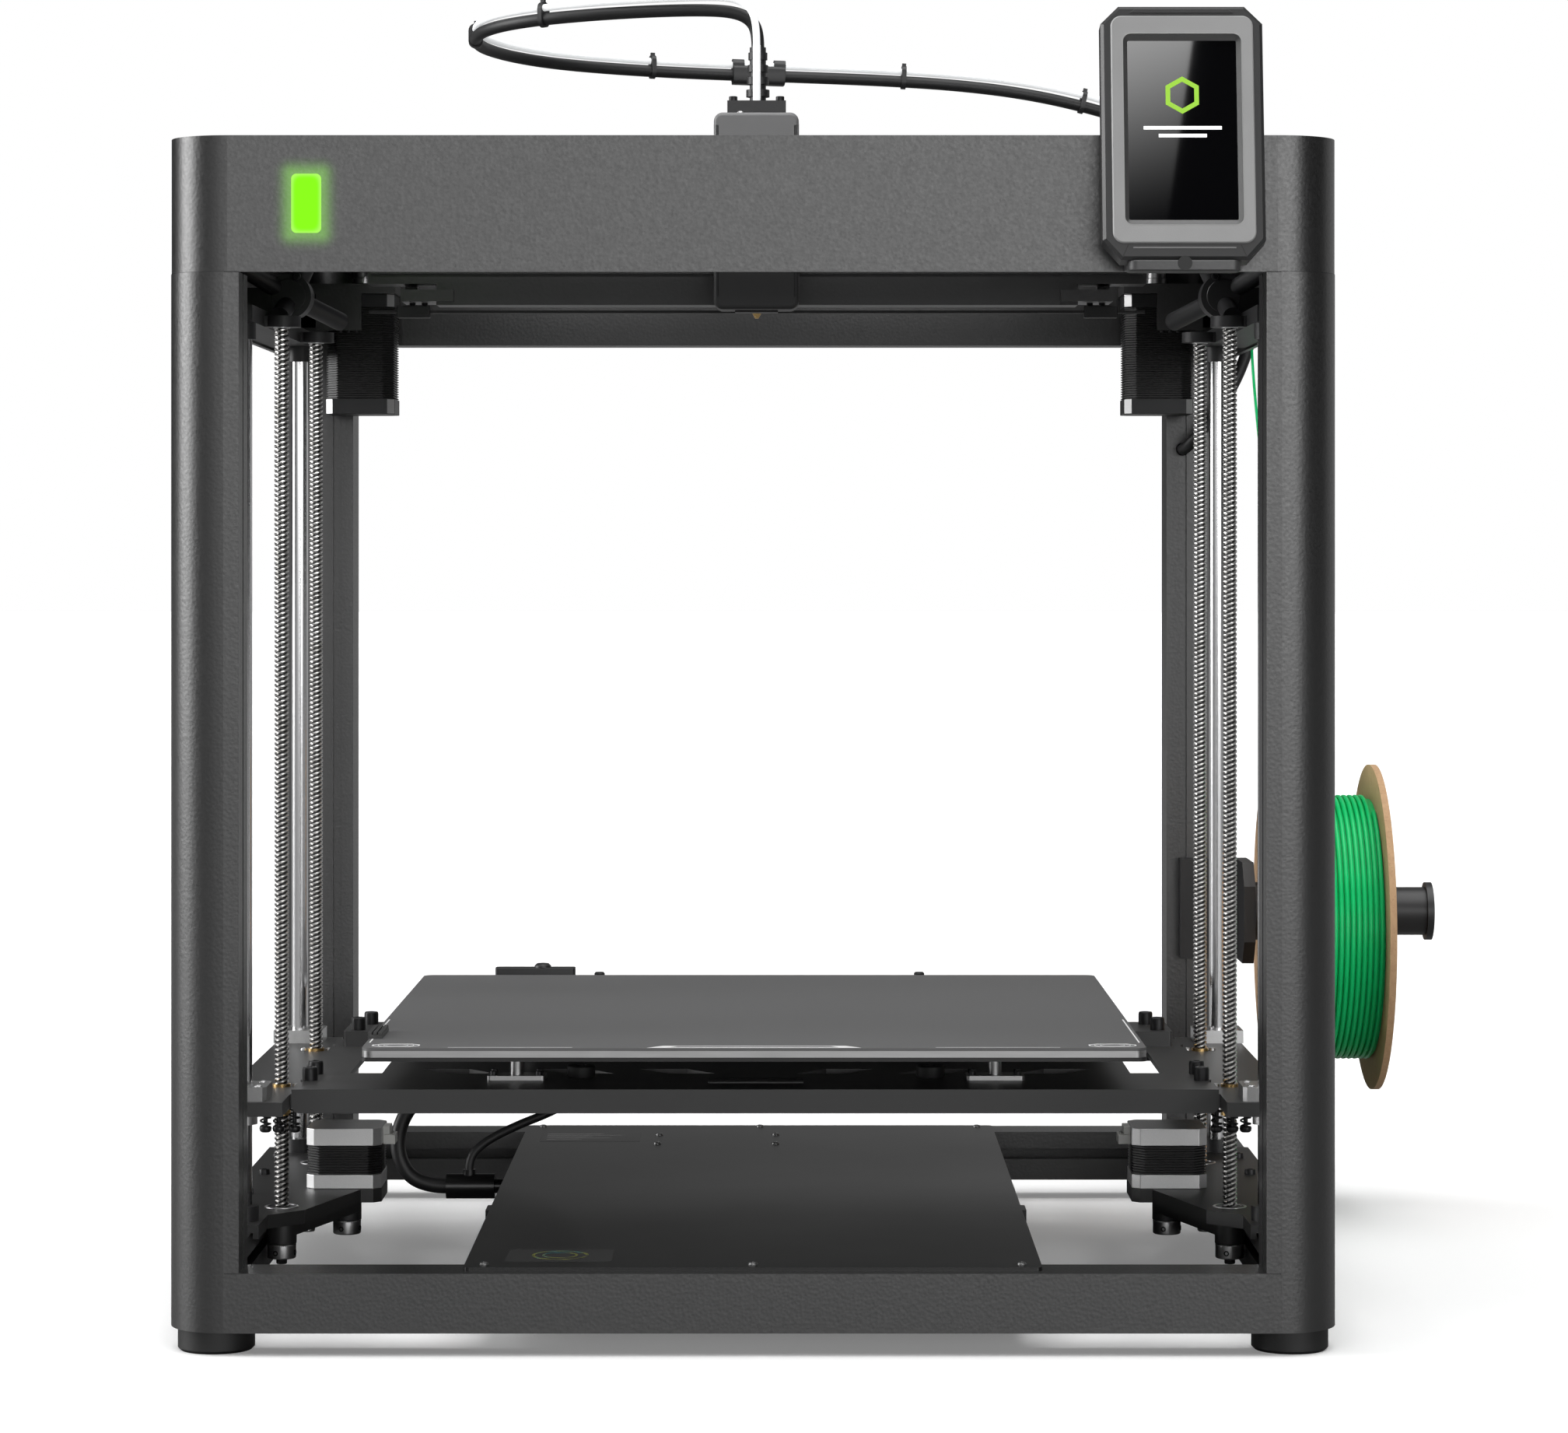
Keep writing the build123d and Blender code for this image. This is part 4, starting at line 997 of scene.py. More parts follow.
class PRINTER_OT_bed(Builder, bpy.types.Operator):
    """Finishes the bed and adds its bolts, springs, nozzle wiper, pegs, clip and printed marks"""

    bl_idname = "printer.bed"
    bl_label = "Bed"
    coats = {
        "bed": "bed_side_plates bed_carrier bed_cross_bar",
        "bearing": "bed_bearings",
        "brass": "screw_nuts",
        "support": "bed_supports",
        "heater": "heated_plate",
        "pei": "build_sheet",
    }

    def build(self):
        self.fasteners()
        self.springs()
        self.wiper()
        self.prints()

    def fasteners(self):
        deck, low, bar_top, block_top = 114.8, 112.0, 123.6, 119.6
        ends = (-1, 1)
        corners = [(244.5, y, deck) for y in (-84, -54)] + [(235, 95, bar_top), (230.5, 127, bar_top)]
        nuts = [(SCREW_X + 7.6 * math.cos(a), end * SCREW_Y + 7.6 * math.sin(a), low)
                for end in ends for a in (0.25, math.pi - 0.25)]
        blocks = [(274.5 + dx, end * 143 + dy, block_top)
                  for end in ends for dx in (-10, 10) for dy in (-11, 9)]
        flange = [(131.5 + dx, -76 + dy, deck + 2.4) for dx in (-12.5, 12.5) for dy in (-5.5, 5.5)]
        pad = [(0, 0), (7.4, 0), (7.8, 0.8), (7.8, 5.8), (7.0, 6.6), (3.0, 6.6), (2.6, 5.2), (0, 5.2)]
        for name, shape, spots, finish, slot in (
            ("bed_cap_bolts", cap_bolt(4.2, 7.4), corners, "bolt", "black_paint"),
            ("nut_flange_screws", pan_screw(1.9, 1.6), nuts, "bright_screw", "ground_steel"),
            ("bearing_block_screws", pan_screw(2.2, 0.9), blocks, "bright_screw", "ground_steel"),
            ("support_screws", cap_bolt(1.9, 2.4), flange, "bolt", "black_paint"),
            ("bed_round_pads", Shape().turned(pad, steps=32), [(96.5, -68, deck)], "rubber", "rubber"),
        ):
            repeated(name, shape, both_sides(spots), "bed", finish, slot)

    def springs(self):
        """Springs and their bolts that hang under the side plates."""
        coil = GROWERS["coil"].grown(
            "spring", bpy.data.meshes.new("spring"), turns=SETTINGS.bed.spring_turns, radius=2.7, length=13.5,
            wire=0.55, turn_steps=14, wire_steps=8, finish=FINISHES["bolt"].material)
        spring = Shape()
        spring.bm.from_mesh(coil)
        top = 104.4
        hung = [(267.4, -97), (260.2, -97.5), (251.6, -97), (267.4, 97), (251.6, 97)]
        spots = both_sides([(x, y, top) for x, y in hung], (0, 0, -1))
        repeated("bed_springs", spring, spots, "bed", "bolt", "black_paint", smooth=60)
        tail = [(0, 0), (1.2, 0), (1.2, 13.2), (3.0, 13.2), (3.4, 14.2), (3.1, 15.6), (2.2, 16.4), (0, 16.4)]
        repeated("bed_spring_bolts", Shape().turned(tail, steps=16), spots, "bed", "bolt", "black_paint")

    def wiper(self):
        """The nozzle wiper and the sheet's pegs behind the plate, a clip on its left and its liner."""
        shape = Shape().prism(rounded_at(-137.5, 211, 49, 10, 2), 138.0, 149.8)
        shape.box((-150, 203, 139), (-125, 207, 143))
        dome = [(5.2, 149.8), (5.0, 151), (3.6, 152.2), (0, 152.6)]
        shape.turned(dome, Matrix.Translation((-133, 211, 0)), 24)
        shape.piece("nozzle_wiper", "bed", "plastic", "black_plastic", bevel=0.5)
        peg = [(0, 0), (3.2, 0), (3.2, 6.2), (2.4, 7.0), (0, 7.0)]
        spots = both_sides([(98, 207.5, 140.2)])
        repeated("sheet_pegs", Shape().turned(peg, steps=16), spots, "bed", "bolt", "black_paint")
        clip = Shape().box((-205.6, -160, 141), (-198, -121, 147.6))
        for x in (-205.6, -202.9, -200.2):
            clip.box((x, -160, 147.6), (x + 2.0, -121, 149.2))
        clip.piece("plate_side_clip", "bed", "bed", "black_paint", bevel=0.2)
        liner = Shape().prism(rounded(410.3, 410.3, 4.1), 138.6, 140.7)
        liner.piece("plate_underside_liner", "bed", "rubber", "black_paint")

    def prints(self):
        """Plain printed marks on the sheet: corner panels, edge lines and a front panel."""
        top, thick = 145.6, 0.05
        ink = Shape()
        for side in (-1, 1):
            for width, depth, line in ((25, 15, 0.9), (19, 11, 0.5), (13, 7, 0.5)):
                outer, inner = (self.octagon(side * 188, -191, width, depth, grow) for grow in (0, -line))
                ink.band(outer, inner, top, top + thick)
            ink.box((side * 160, -201.5, top), (side * 95, -200.7, top + thick))
            ink.box((side * 203.4, -178, top), (side * 202.6, -60, top + thick))
        ink.prism([(-56, -203.5), (56, -203.5), (48, -194), (-48, -194)], top, top + 0.06)
        ink.piece("sheet_prints", "bed", "white_ink", "build_surface")
        inset = Shape().prism([(-44, -201.5), (44, -201.5), (40, -196), (-40, -196)], top + 0.02, top + 0.1)
        inset.piece("sheet_panel_inset", "bed", "grey_ink", "build_surface")

    def octagon(self, x, y, width, depth, grow):
        a, b, cut = width / 2 + grow, depth / 2 + grow, 0.32 * depth
        return [(x + a - cut, y - b), (x + a, y - b + cut), (x + a, y + b - cut), (x + a - cut, y + b),
                (x - a + cut, y + b), (x - a, y + b - cut), (x - a, y - b + cut), (x - a + cut, y - b)]


# ---- Gantry and toolhead


class PRINTER_OT_gantry(Builder, bpy.types.Operator):
    """Finishes the gantry, its rails, pulleys and brackets"""

    bl_idname = "printer.gantry"
    bl_label = "Gantry"
    coats = {"bracket": "x_beam gantry_blocks", "rod": "y_rails"}

    def build(self):
        self.pulleys()
        self.beam_details()
        self.bracket_details()

    def pulleys(self):
        for node in ("xy_pulley_left", "xy_pulley_right"):
            low, high = local(node)
            place = Matrix.Translation(((low.x + high.x) / 2, (low.y + high.y) / 2, 0))
            rim, top = high.z - 20.2, high.z
            profile = [(0, low.z), (2.5, low.z), (2.5, rim), (6.3, rim), (6.3, rim + 3), (5.9, rim + 3.4),
                       (5.9, top - 2.2), (6.3, top - 1.8), (6.3, top - 0.6), (5.8, top), (0, top)]
            turned = Shape().turned(profile, place, 40)
            turned.piece(node + "_turned", node, "hub", "aluminium", replaces=[node])

    def beam_details(self):
        belt = Shape().box((-222, 20.5, 541.2), (222, 26.5, 542.7))
        belt.piece("x_belt", "gantry", "belt", "belt_rubber")
        ends = Shape().box((187, 19.5, 538.5), (206, 27.5, 545.4)).mirrored()
        ends.piece("x_belt_tensioners", "gantry", "plastic", "black_plastic", bevel=0.4)
        rail = Shape().box((-219.5, 7.0, 564.2), (219.5, 8.2, 570.8))
        rail.piece("x_rail_face", "gantry", "rod", "ground_steel", bevel=0.2)
        screws = both_sides([(x, 32, 547.5) for x in (191, 198)], (0, 0, -1))
        repeated("gantry_block_screws", cap_bolt(1.8, 1.6), screws, "gantry", "bolt", "black_paint")

    def bracket_details(self):
        """The round face and screws beside the motors at the top of each Z drive."""
        front, below = (0, -1, 0), (0, 0, -1)
        disc = Shape().turned([(0, 0), (9.4, 0), (9.4, 0.5), (9.1, 0.8), (0, 0.8)], steps=40)
        under = [(247 + 5 * i, 207.5, 540.7) for i in range(3)]
        for name, shape, spots, axis, finish in (
            ("hub_faces", disc, [(258.9, -61.0, 546.3)], front, "plastic"),
            ("hub_screws", cap_bolt(2.6, 2.2), [(254.5, -61.4, 557.0)], front, "bolt"),
            ("sheet_edge_screws", cap_bolt(1.4, 1.5), under, below, "bolt"),
        ):
            repeated(name, shape, both_sides(spots, axis), "root", finish, "black_plastic")


class PRINTER_OT_toolhead(Builder, bpy.types.Operator):
    """Finishes the toolhead and adds its bolts, side strips, nozzle flange and gland line"""

    bl_idname = "printer.toolhead"
    bl_label = "Toolhead"
    coats = {"cover": "toolhead_cover", "plastic": "toolhead_body part_fan cable_gland", "brass": "hot_end"}

    def build(self):
        bolts = both_sides([(13.2, -18.0, 658.5)])
        repeated("gland_bolts", cap_bolt(2.4, 2.6), bolts, "toolhead", "bolt", "black_plastic")
        dome = Shape().turned([(0, 0), (2.6, 0), (2.5, 1.0), (1.8, 2.0), (0, 2.4)], steps=20)
        spot = [((-9.0, -24.5, 650.0), (0, 0, 1))]
        repeated("toolhead_dome_screw", dome, spot, "toolhead", "bright_screw", "ground_steel")
        strips = Shape()
        for side in (-1, 1):
            strips.box((side * 20.9, -41.0, 547), (side * 22.6, -40.4, 643))
            strips.box((side * 22.9, -36.5, 546), (side * 23.85, -17, 644))
        strips.piece("toolhead_side_strips", "toolhead", "plastic", "black_plastic", bevel=0.2)
        sleeve = [(0, 650), (2.15, 650), (2.15, 690.4), (0, 690.4)]
        tube = Shape().turned(sleeve, Matrix.Translation((0, -14.5, 0)), 24)
        tube.piece("tube_foot", "toolhead", "tube", "tube_plastic")
        flange = Shape().box((-12, -30, 538.9), (12, -18, 539.9))
        flange.piece("nozzle_flange", "toolhead", "plastic", "black_plastic", bevel=0.2)
        clamp = Shape().box((-16.4, -21.9, 653.4), (16.4, -21.6, 654.0))
        clamp.piece("gland_split_line", "toolhead", "rubber", "black_plastic")


# ---- Screen


class PRINTER_OT_screen(Builder, bpy.types.Operator):
    """Finishes the screen and adds its recess, picture, slot and panels"""

    bl_idname = "printer.screen"
    bl_label = "Screen"
    place = (
        Matrix.Translation((214.5, -322.0, 549.2))
        @ Matrix.Rotation(math.radians(-9.5), 4, "X")
        @ Matrix.Rotation(math.radians(90), 4, "X")
    )
    middle = 66.5

    coats = {"shell": "screen_shell", "bezel": "screen_bezel", "glass": "screen_glass"}

    def build(self):
        self.recess()
        self.picture()
        self.panels()

    def rings(self, *layers):
        """A closed skin over round rectangles on the face: width, height, radius, steps and depth."""
        rings = [[self.place @ Vector((x, y, -depth)) for x, y in rounded_at(0, self.middle, w, h, r, steps)]
                 for w, h, r, steps, depth in layers]
        return Shape().rings(rings, ends=False)

    def recess(self):
        """The sloped, grained border between bezel and glass, and the bezel's raised lip."""
        outer, inner = (58.8, 97.7, 4, 5), (54.4, 92.0, 0.8, 5)
        border = self.rings((*outer, 0.2), (*inner, 1.85), (*outer, 1.95), (*outer, 0.2))
        border.piece("screen_recess", "root", "recess", "black_plastic", smooth=30)
        outer, inner = (60.0, 98.9, 4.4, 5), (59.0, 97.9, 4.0, 5)
        lip = self.rings((*outer, -1.02), (*inner, -1.12), (*inner, -0.6), (*outer, -0.9), (*outer, -1.02))
        lip.piece("screen_bezel_lip", "root", "bezel", "grey_plastic", smooth=60)

    def picture(self):
        """A plain lit picture: a hexagon over two bars."""
        back, front = -1.97, -1.93
        outer, inner = ([(r * math.sin(i * TAU / 6), 84.5 + r * math.cos(i * TAU / 6)) for i in range(6)]
                        for r in (9.6, 0.72 * 9.6))
        lit = Shape().band(outer, inner, back, front, self.place)
        lit.piece("screen_picture_green", "root", "screen_green", "screen_glass")
        bars = Shape()
        for y, half in ((66.8, 19.5), (62.8, 12.0)):
            bars.prism([(-half, y), (half, y), (half, y + 1.8), (-half, y + 1.8)], back, front, self.place)
        bars.piece("screen_picture_white", "root", "screen_white", "screen_glass")

    def panels(self):
        """The slot and grooves under the bezel, the raised panel above it, and the foot with its screw."""
        back = -0.3
        slot = Shape().prism([(-25.5, 5.6), (25.5, 5.6), (25.5, 6.4), (-25.5, 6.4)], back, 0.25, self.place)
        slot.piece("screen_lower_slot", "root", "recess_line", "grey_plastic")
        groove = Shape()
        for side in (-1, 1):
            outline = [(side * 30.5, 1.2), (side * 31.1, 1.2), (side * 28.3, 7.4), (side * 27.7, 7.4)]
            groove.prism(outline[::side], back, 0.12, self.place)
        groove.piece("screen_lower_grooves", "root", "rubber", "black_plastic")
        top = Shape().prism([(-26, 126.2), (26, 126.2), (23.5, 128.2), (-23.5, 128.2)], back, 0.5, self.place)
        top.piece("screen_upper_panel", "root", "shell", "black_plastic", bevel=0.2)
        foot = Shape().prism(rounded_at(214.5, -311.5, 56, 22, 5), 543.6, 549.0)
        foot.piece("screen_foot", "root", "coarse", "black_plastic", bevel=0.8)
        head = Shape().turned([(0, 0), (3.6, 0), (3.6, 0.8), (0, 0.8)], steps=24)
        spot = [((214.5, -322.0, 547.4), (0, -1, 0))]
        repeated("screen_foot_screw", head, spot, "root", "rubber", "black_plastic")


# ---- Electronics


class PRINTER_OT_electronics(Builder, bpy.types.Operator):
    """Finishes the electronics case and adds its lid screws, label and seal"""

    bl_idname = "printer.electronics"
    bl_label = "Electronics"

    coats = {
        "sheet": "electronics_case electronics_lid",
        "heater": "power_supply",
        "board": "mainboard",
        "plastic": "mains_inlet",
        "rocker": "power_rocker",
    }

    def build(self):
        """The lid's screws, a printed label and a round seal, both without words."""
        top, thick = local("electronics_lid")[1].z, 0.08
        spots = [(x, y) for y in (272, -276) for x in (-136, 0, 136)]
        spots += [(x, y) for x in (-62, 10) for y in (232, 190)]
        screws = [((x, y, top), (0, 0, 1)) for x, y in spots]
        repeated("lid_screws", pan_screw(2.4, 1.3), screws, "root", "lid_screw", "ground_steel")
        label = Shape().prism(rounded_at(-104, 222, 62, 44, 1.5), top, top + thick)
        label.piece("lid_label", "root", "label", "black_paint")
        lines = Shape()
        left, first, pitch, height = -131, 236, 6.5, 1.3
        for row, length in enumerate((34, 46, 28, 40, 22)):
            y = first - pitch * row
            lines.box((left, y, top + thick), (left + length, y + height, top + 0.12))
        lines.piece("lid_label_lines", "root", "grey_ink", "black_paint")
        seal = Shape().prism(rounded_at(-99, -246, 54, 40, 2), top, top + thick)
        seal.piece("lid_seal", "root", "label", "black_paint")
        ring = Shape()
        for r0, r1 in ((13.0, 14.6), (8.0, 9.2)):
            turn = [(r0, 0.0), (r1, 0.0), (r1, 0.05), (r0, 0.05), (r0, 0.0)]
            ring.turned(turn, Matrix.Translation((-99, -246, top + thick)), 40)
        ring.piece("lid_seal_rings", "root", "shimmer", "black_paint")


# ---- Spool


class PRINTER_OT_spool(Builder, bpy.types.Operator):
    """Winds the filament and finishes the spool and its holder"""

    bl_idname = "printer.spool"
    bl_label = "Spool"

    coats = {"card": "spool_body", "plastic": "spool_bracket filament_sensor"}

    def build(self):
        """The wound filament: a plain core with a helix of turns on it."""
        low, high = local("filament_winding")
        middle = (low + high) / 2
        spool = SETTINGS.spool
        long = high.x - low.x
        width = long - spool.strand
        outer = (high.z - low.z) / 2 - spool.strand / 2
        hollow, core_r, gap = 40.0, outer - 0.35 * spool.strand, 0.1
        place = Matrix.Translation((low.x, middle.y, middle.z)) @ Matrix.Rotation(TAU / 4, 4, "Y")
        profile = [(hollow, gap), (core_r, gap), (core_r, long - gap), (hollow, long - gap), (hollow, gap)]
        core = Shape().turned(profile, place, 96)
        core.piece("filament_core", "spool", "filament", "filament", replaces=["filament_winding"])
        mesh = GROWERS["coil"].grown(
            "winding", bpy.data.meshes.new("winding"), turns=width / (spool.strand + spool.gap), radius=outer,
            length=width, wire=spool.strand / 2, turn_steps=80, wire_steps=8,
            finish=FINISHES["filament"].material)
        mesh.transform(TO_ROW @ place @ Matrix.Translation((0, 0, spool.strand / 2)))
        dressed("filament_turns", mesh, "spool", "filament", "filament", smooth=60)


# ---- Cords


class PRINTER_OT_cords(Builder, bpy.types.Operator):
    """Lays the umbilical, the white tube, the bed cables and the filament"""

    bl_idname = "printer.cords"
    bl_label = "Cords"

    UMBILICAL_FRONT = [
        (0.6, -5, 690), (0.6, -5, 698.5), (-3.4, -4.4, 706.2), (-13, -3, 710.6), (-31, 0, 712),
        (-60, 5, 711.9), (-92, 13, 711), (-123, 27, 710), (-147, 46, 708.8), (-161, 69, 707.6),
        (-166.5, 93, 706.4), (-166.5, 103, 706),
    ]
    UMBILICAL_REAR = [
        (-166.5, 103, 706), (-166.5, 113, 705.6), (-162, 137, 704.8), (-149, 166, 703.8), (-126, 193, 702.8),
        (-93, 214, 702), (-54, 229, 701.2), (-11, 238, 700.4), (34, 243, 699.4), (79, 247, 698),
        (122, 250, 695.6), (164, 254, 691), (204, 259, 683), (241, 265, 672), (274, 269, 656),
        (297, 266, 632), (307, 259, 602), (309, 249, 570), (306, 241, 539), (296, 235, 512),
        (282, 232, 490), (270, 235, 475), (264.6, 245, 469), (264, 257, 469),
    ]
    TUBE_FRONT = [
        (0, -14.5, 690.05), (0, -14.5, 702), (-4, -11.5, 713), (-15, -8, 718), (-33, -4, 718.6),
        (-61, 2, 718.2), (-92, 11, 717.4), (-123, 25.5, 716.4), (-147, 45, 715.2), (-161, 69, 714),
        (-166.5, 93, 712.8), (-166.5, 103, 712.4),
    ]
    TUBE_REAR = [
        (-166.5, 103, 712.4), (-166.5, 113, 712), (-162, 137, 711), (-149, 166, 710), (-126, 193, 709),
        (-93, 214, 708.2), (-54, 229, 707.4), (-11, 238, 706.6), (34, 243, 705.6), (79, 247, 704.2),
        (122, 250, 701.8), (164, 254, 697.6), (204, 258, 690), (240, 261, 679), (270, 258, 663),
        (290, 246, 643), (299, 230, 625), (301, 212, 610), (301, 203, 598), (301, 203, 590),
    ]
    BED_CABLE = [
        (-180.3, 55, 37.3), (-189, 55, 37.3), (-202, 55.4, 42.5), (-209, 56, 56), (-208, 57, 72),
        (-199, 58, 87), (-185, 59, 95), (-185, 59, 105.8),
    ]
    SENSOR_CABLE = [
        (-167, 55, 47), (-167, 55, 54), (-158, 56, 63), (-140, 57, 72), (-119, 58, 80),
        (-104, 59.4, 89), (-98, 60, 99), (-98, 60, 105.85),
    ]
    FILAMENT = [
        (340, 132.8, 176), (338, 133.4, 224), (333, 137, 272), (326, 144, 320), (318, 153, 367),
        (310.5, 165, 413), (305, 178, 458), (302, 190, 502), (301, 199, 530), (301, 203, 548),
    ]

    TURN = 12  # the point of a rear route where the gantry's part of it ends; only its place is looked up

    def build(self):
        cable, bed = ("jacket", "cable_jacket"), ("root", "bed")
        tube = "tube", "tube_plastic"
        front, rear = ("toolhead", "gantry"), ("gantry", "root")
        for name, route, diameter, look, bodies, turn in (
            ("umbilical_front", self.UMBILICAL_FRONT, 7.3, cable, front, -1),
            ("umbilical_rear", self.UMBILICAL_REAR, 7.3, cable, rear, self.TURN),
            ("tube_front", self.TUBE_FRONT, 4.0, tube, front, -1),
            ("tube_rear", self.TUBE_REAR, 4.0, tube, rear, self.TURN),
            ("bed_cable", self.BED_CABLE, 8.7, cable, bed, -1),
            ("sensor_cable", self.SENSOR_CABLE, 5.0, cable, bed, -1),
            ("filament_strand", self.FILAMENT, 1.75, ("filament", "filament"), ("root",), -1),
        ):
            self.cord(name, route, diameter, *look, bodies, turn)
        self.clips("front", self.UMBILICAL_FRONT, front, -1)
        self.clips("rear", self.UMBILICAL_REAR, rear, self.TURN)

    def swept(self, route, thickness):
        """The mesh of a round cord on a NURBS curve with the route's points as its control points."""
        data = bpy.data.curves.new("route", "CURVE")
        data.dimensions = "3D"
        data.resolution_u = 10
        data.bevel_depth = thickness / 2 * MM
        data.bevel_resolution = 4
        data.use_fill_caps = True
        spline = data.splines.new("NURBS")
        spline.points.add(len(route) - 1)
        for point, place in zip(spline.points, route):
            point.co = (*at(*place), 1.0)
        spline.order_u = 3
        spline.use_endpoint_u = True
        return plain_mesh(linked("route", data))

    def path(self, route):
        return [v.co.copy() for v in self.swept(route, 0).vertices]

    def cord(self, name, route, diameter, finish, slot, bodies, turn):
        """A cord on one body; given two bodies, it rides on neither and only has its transform baked."""
        path = self.path(route)
        mesh = self.swept(route, diameter)
        painted(mesh, finish)
        mesh.shade_smooth()
        obj = linked(name + "_run", mesh)
        if len(bodies) == 1:
            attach(obj, bodies[0])
        else:
            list(bodies)
            at(*route[0])
            at(*route[turn])
            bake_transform(obj)
        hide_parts(name)
        length = sum((b - a).length for a, b in zip(path, path[1:]))
        at(*route[0])

    def clips(self, run, route, bodies, turn):
        """Clips that hold the white tube on the cable, bands and a sleeve, each across the run."""
        clip = [(x, y + 2.6) for x, y in rounded(8.6, 14.6, 4.2, 5)]
        lug = [(-1.0, 9.4), (1.0, 9.4), (1.0, 11.4), (-1.0, 11.4)]
        tie, band = ((clip, 1.4), (lug, 1.2)), ((clip, 3.6),)
        sleeve = ((rounded(11.6, 11.6, 2.5, 3), 16.0),)
        path = self.path(route)
        for x, parts in {
            "front": ((-123.3, tie), (-166.4, tie)),
            "rear": ((-65.2, tie), (90.7, tie), (200.0, tie), (-13.0, band), (13.0, band), (0.0, sleeve)),
        }[run]:
            goal = at(x, 0, 0).x
            i = min(range(1, len(path) - 1), key=lambda k: abs(path[k].x - goal))
            along = (path[i + 1] - path[i - 1]).normalized()
            sideways = along.cross(Vector((0, 0, 1))).normalized()
            axes = Matrix((sideways, sideways.cross(along), along)).transposed().to_4x4()
            place = Matrix.Translation(path[i]) @ axes @ Matrix.Scale(MM, 4)
            shape = Shape()
            for outline, half in parts:
                shape.prism(outline, -half, half, place)
            name = f"umbilical_{run}_clip_{round(abs(x))}_{'left' if x < 0 else 'right'}"
            mesh = shape.mesh(name, 1e-6)
            obj = linked(name, mesh)
            painted(mesh, "plastic")
            mesh.shade_smooth()
            mesh.set_sharp_from_angle(angle=math.radians(35))
            at(*route[0])
            at(*route[turn])
            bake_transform(obj)


# ---- Stage


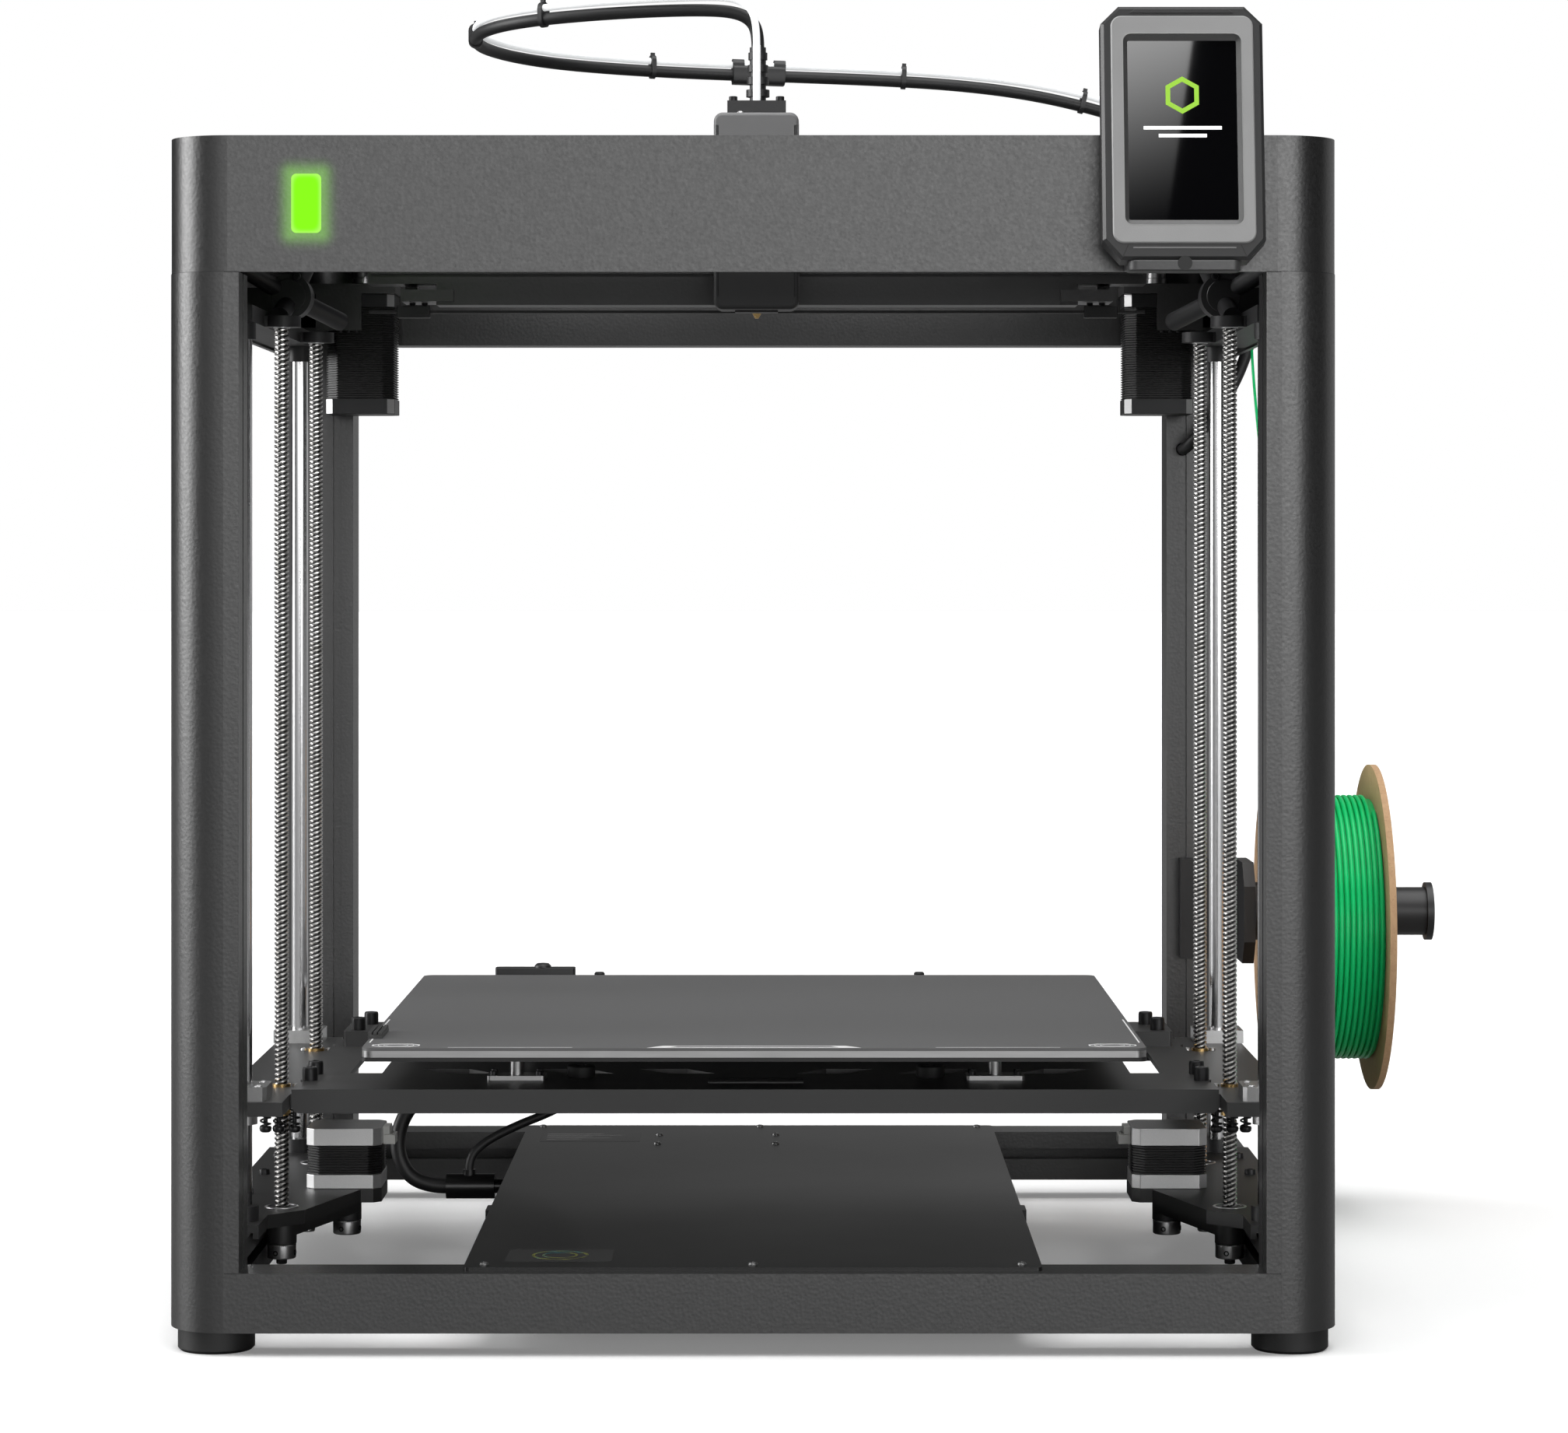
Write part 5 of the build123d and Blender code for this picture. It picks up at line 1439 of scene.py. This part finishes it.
class PRINTER_OT_stage(Builder, bpy.types.Operator):
    """Sets the floor, the lights and the camera"""

    bl_idname = "printer.stage"
    bl_label = "Stage"

    def build(self):
        bpy.context.scene.view_settings.view_transform = "Standard"
        self.floor()
        self.reflection_card()
        self.sky()
        self.lights()
        self.camera()

    def floor(self):
        """White to the camera and dim to the object, which would otherwise mirror it."""
        half, white, dim = 30.0, (0.86, 0.86, 0.86), (0.2, 0.2, 0.2)
        data = flat_mesh("floor", [(-half, -half, 0), (half, -half, 0), (half, half, 0), (-half, half, 0)])
        paper = Finish("Pale floor", white, 0.6)
        seen = paper.node("ShaderNodeLightPath", {}, {}, "Is Camera Ray")
        paper.set("Base Color", paper.between(seen, dim, white))
        paper.set("Emission Color", paper.between(seen, (0.0, 0.0, 0.0), (0.18, 0.18, 0.18)))
        paper.set("Emission Strength", 1.0)
        data.materials.append(paper.material)
        linked("floor", data)

    def reflection_card(self):
        """A card whose slanted edge and fading light the screen's glass mirrors."""
        away, top, bottom = -3400, 2.19, 1.88
        corners = [at(x, away, 0) for x in (534, 486, 244, 274)]
        for corner, z in zip(corners, (top, bottom, bottom, top)):
            corner.z = z
        data = flat_mesh("reflection_card", corners)
        light = Finish("Card light", (0, 0, 0), 1.0)
        fade = light.ramp(light.part("Z") - light.part("X") * 0.35, bottom - 0.19, top - 0.1)
        light.set("Emission Color", light.between(fade ** 1.6, (0.0, 0.0, 0.0), (1.0, 1.0, 1.0)))
        light.set("Emission Strength", 9.5)
        data.materials.append(light.material)
        linked("reflection_card", data)

    def sky(self):
        """White behind the object, and dim light from all round with three brighter parts."""
        stage = SETTINGS.stage
        world = bpy.data.worlds.new("Studio")
        bpy.context.scene.world = world
        world.use_nodes = True
        nodes, links = world.node_tree.nodes, world.node_tree.links
        lit = nodes["Background"]
        seen = nodes.new("ShaderNodeBackground")
        for background in (lit, seen):
            background.inputs["Color"].default_value = (1, 1, 1, 1)
        seen.inputs["Strength"].default_value = 1.0
        where, parts = nodes.new("ShaderNodeTexCoord"), nodes.new("ShaderNodeSeparateXYZ")
        links.new(where.outputs["Generated"], parts.inputs[0])

        def ramp(letter, low, high, start=0.0, end=1.0):
            made = nodes.new("ShaderNodeMapRange")
            made.interpolation_type = "SMOOTHSTEP"
            links.new(parts.outputs[letter], made.inputs["Value"])
            for name, value in (("From Min", low), ("From Max", high), ("To Min", start), ("To Max", end)):
                made.inputs[name].default_value = value
            return made.outputs[0]

        def maths(operation, a, b):
            made = nodes.new("ShaderNodeMath")
            made.operation = operation
            for socket, value in zip(made.inputs, (a, b)):
                if isinstance(value, float):
                    socket.default_value = value
                else:
                    links.new(value, socket)
            return made.outputs[0]

        def product(*ramps):
            made = ramps[0]
            for other in ramps[1:]:
                made = maths("MULTIPLY", made, other)
            return made

        front = product(ramp("Y", -0.6, -0.84), ramp("X", -0.6, 0.5, 0.12, 1.0),
                        ramp("Z", -0.12, 0.08), ramp("Z", 0.32, 0.18))
        strip = product(ramp("X", -0.6, -0.85), ramp("Y", -0.42, -0.08),
                        ramp("Y", 0.4, 0.14), ramp("Z", 0.75, 0.5))
        behind = product(ramp("X", -0.35, 0.4), ramp("Y", 0.2, 0.45), ramp("Z", 0.9, 0.4))
        total = stage.ambient
        for light, strength in ((front, stage.front), (strip, stage.strip), (behind, stage.backdrop)):
            total = maths("ADD", total, maths("MULTIPLY", light, strength))
        links.new(total, lit.inputs["Strength"])
        ray, mix = nodes.new("ShaderNodeLightPath"), nodes.new("ShaderNodeMixShader")
        links.new(ray.outputs["Is Camera Ray"], mix.inputs[0])
        links.new(lit.outputs[0], mix.inputs[1])
        links.new(seen.outputs[0], mix.inputs[2])
        links.new(mix.outputs[0], nodes["World Output"].inputs[0])

    def lights(self):
        data = bpy.data.lights.new("Top light", "SUN")
        data.energy = SETTINGS.stage.top_light
        data.angle = math.radians(70)
        linked("Top light", data).rotation_euler = (math.radians(12), 0, 0)

    def camera(self):
        data = bpy.data.cameras.new("Camera")
        data.lens = SETTINGS.stage.lens
        data.sensor_width = 36.0
        data.shift_x, data.shift_y = -0.0035, -0.102
        camera = linked("Camera", data)
        camera.location = at(18.5, -2545, 402)
        camera.rotation_euler = (math.radians(90), 0, 0)
        bpy.context.scene.camera = camera


# ---- Add-on


class PRINTER_PT_panel(bpy.types.Panel):
    """Lists the builders in the sidebar"""

    bl_label = "Gantry printer"
    bl_idname = "PRINTER_PT_panel"
    bl_space_type = "VIEW_3D"
    bl_region_type = "UI"
    bl_category = "Printer"

    def draw(self, context):
        for step in STEPS:
            self.layout.operator(step.bl_idname)


STEPS = (
    PRINTER_OT_frame, PRINTER_OT_z_drive, PRINTER_OT_motors, PRINTER_OT_bed, PRINTER_OT_gantry,
    PRINTER_OT_toolhead, PRINTER_OT_screen, PRINTER_OT_electronics, PRINTER_OT_spool, PRINTER_OT_cords,
    PRINTER_OT_stage,
)
GROUPS = (
    PRINTER_frame_settings, PRINTER_drive_settings, PRINTER_bed_settings, PRINTER_spool_settings,
    PRINTER_stage_settings, PRINTER_settings,
)


def register():
    for cls in (*GROUPS, *STEPS, PRINTER_PT_panel):
        bpy.utils.register_class(cls)
    bpy.types.Scene.printer = PointerProperty(type=PRINTER_settings)


def unregister():
    del bpy.types.Scene.printer
    for cls in reversed((*GROUPS, *STEPS, PRINTER_PT_panel)):
        bpy.utils.unregister_class(cls)


def main():
    global SETTINGS
    register()
    SETTINGS = bpy.context.scene.printer
    make_finishes()
    for step in STEPS:
        group, name = step.bl_idname.split(".")
        getattr(getattr(bpy.ops, group), name)()


if __name__ == "__main__":
    main()
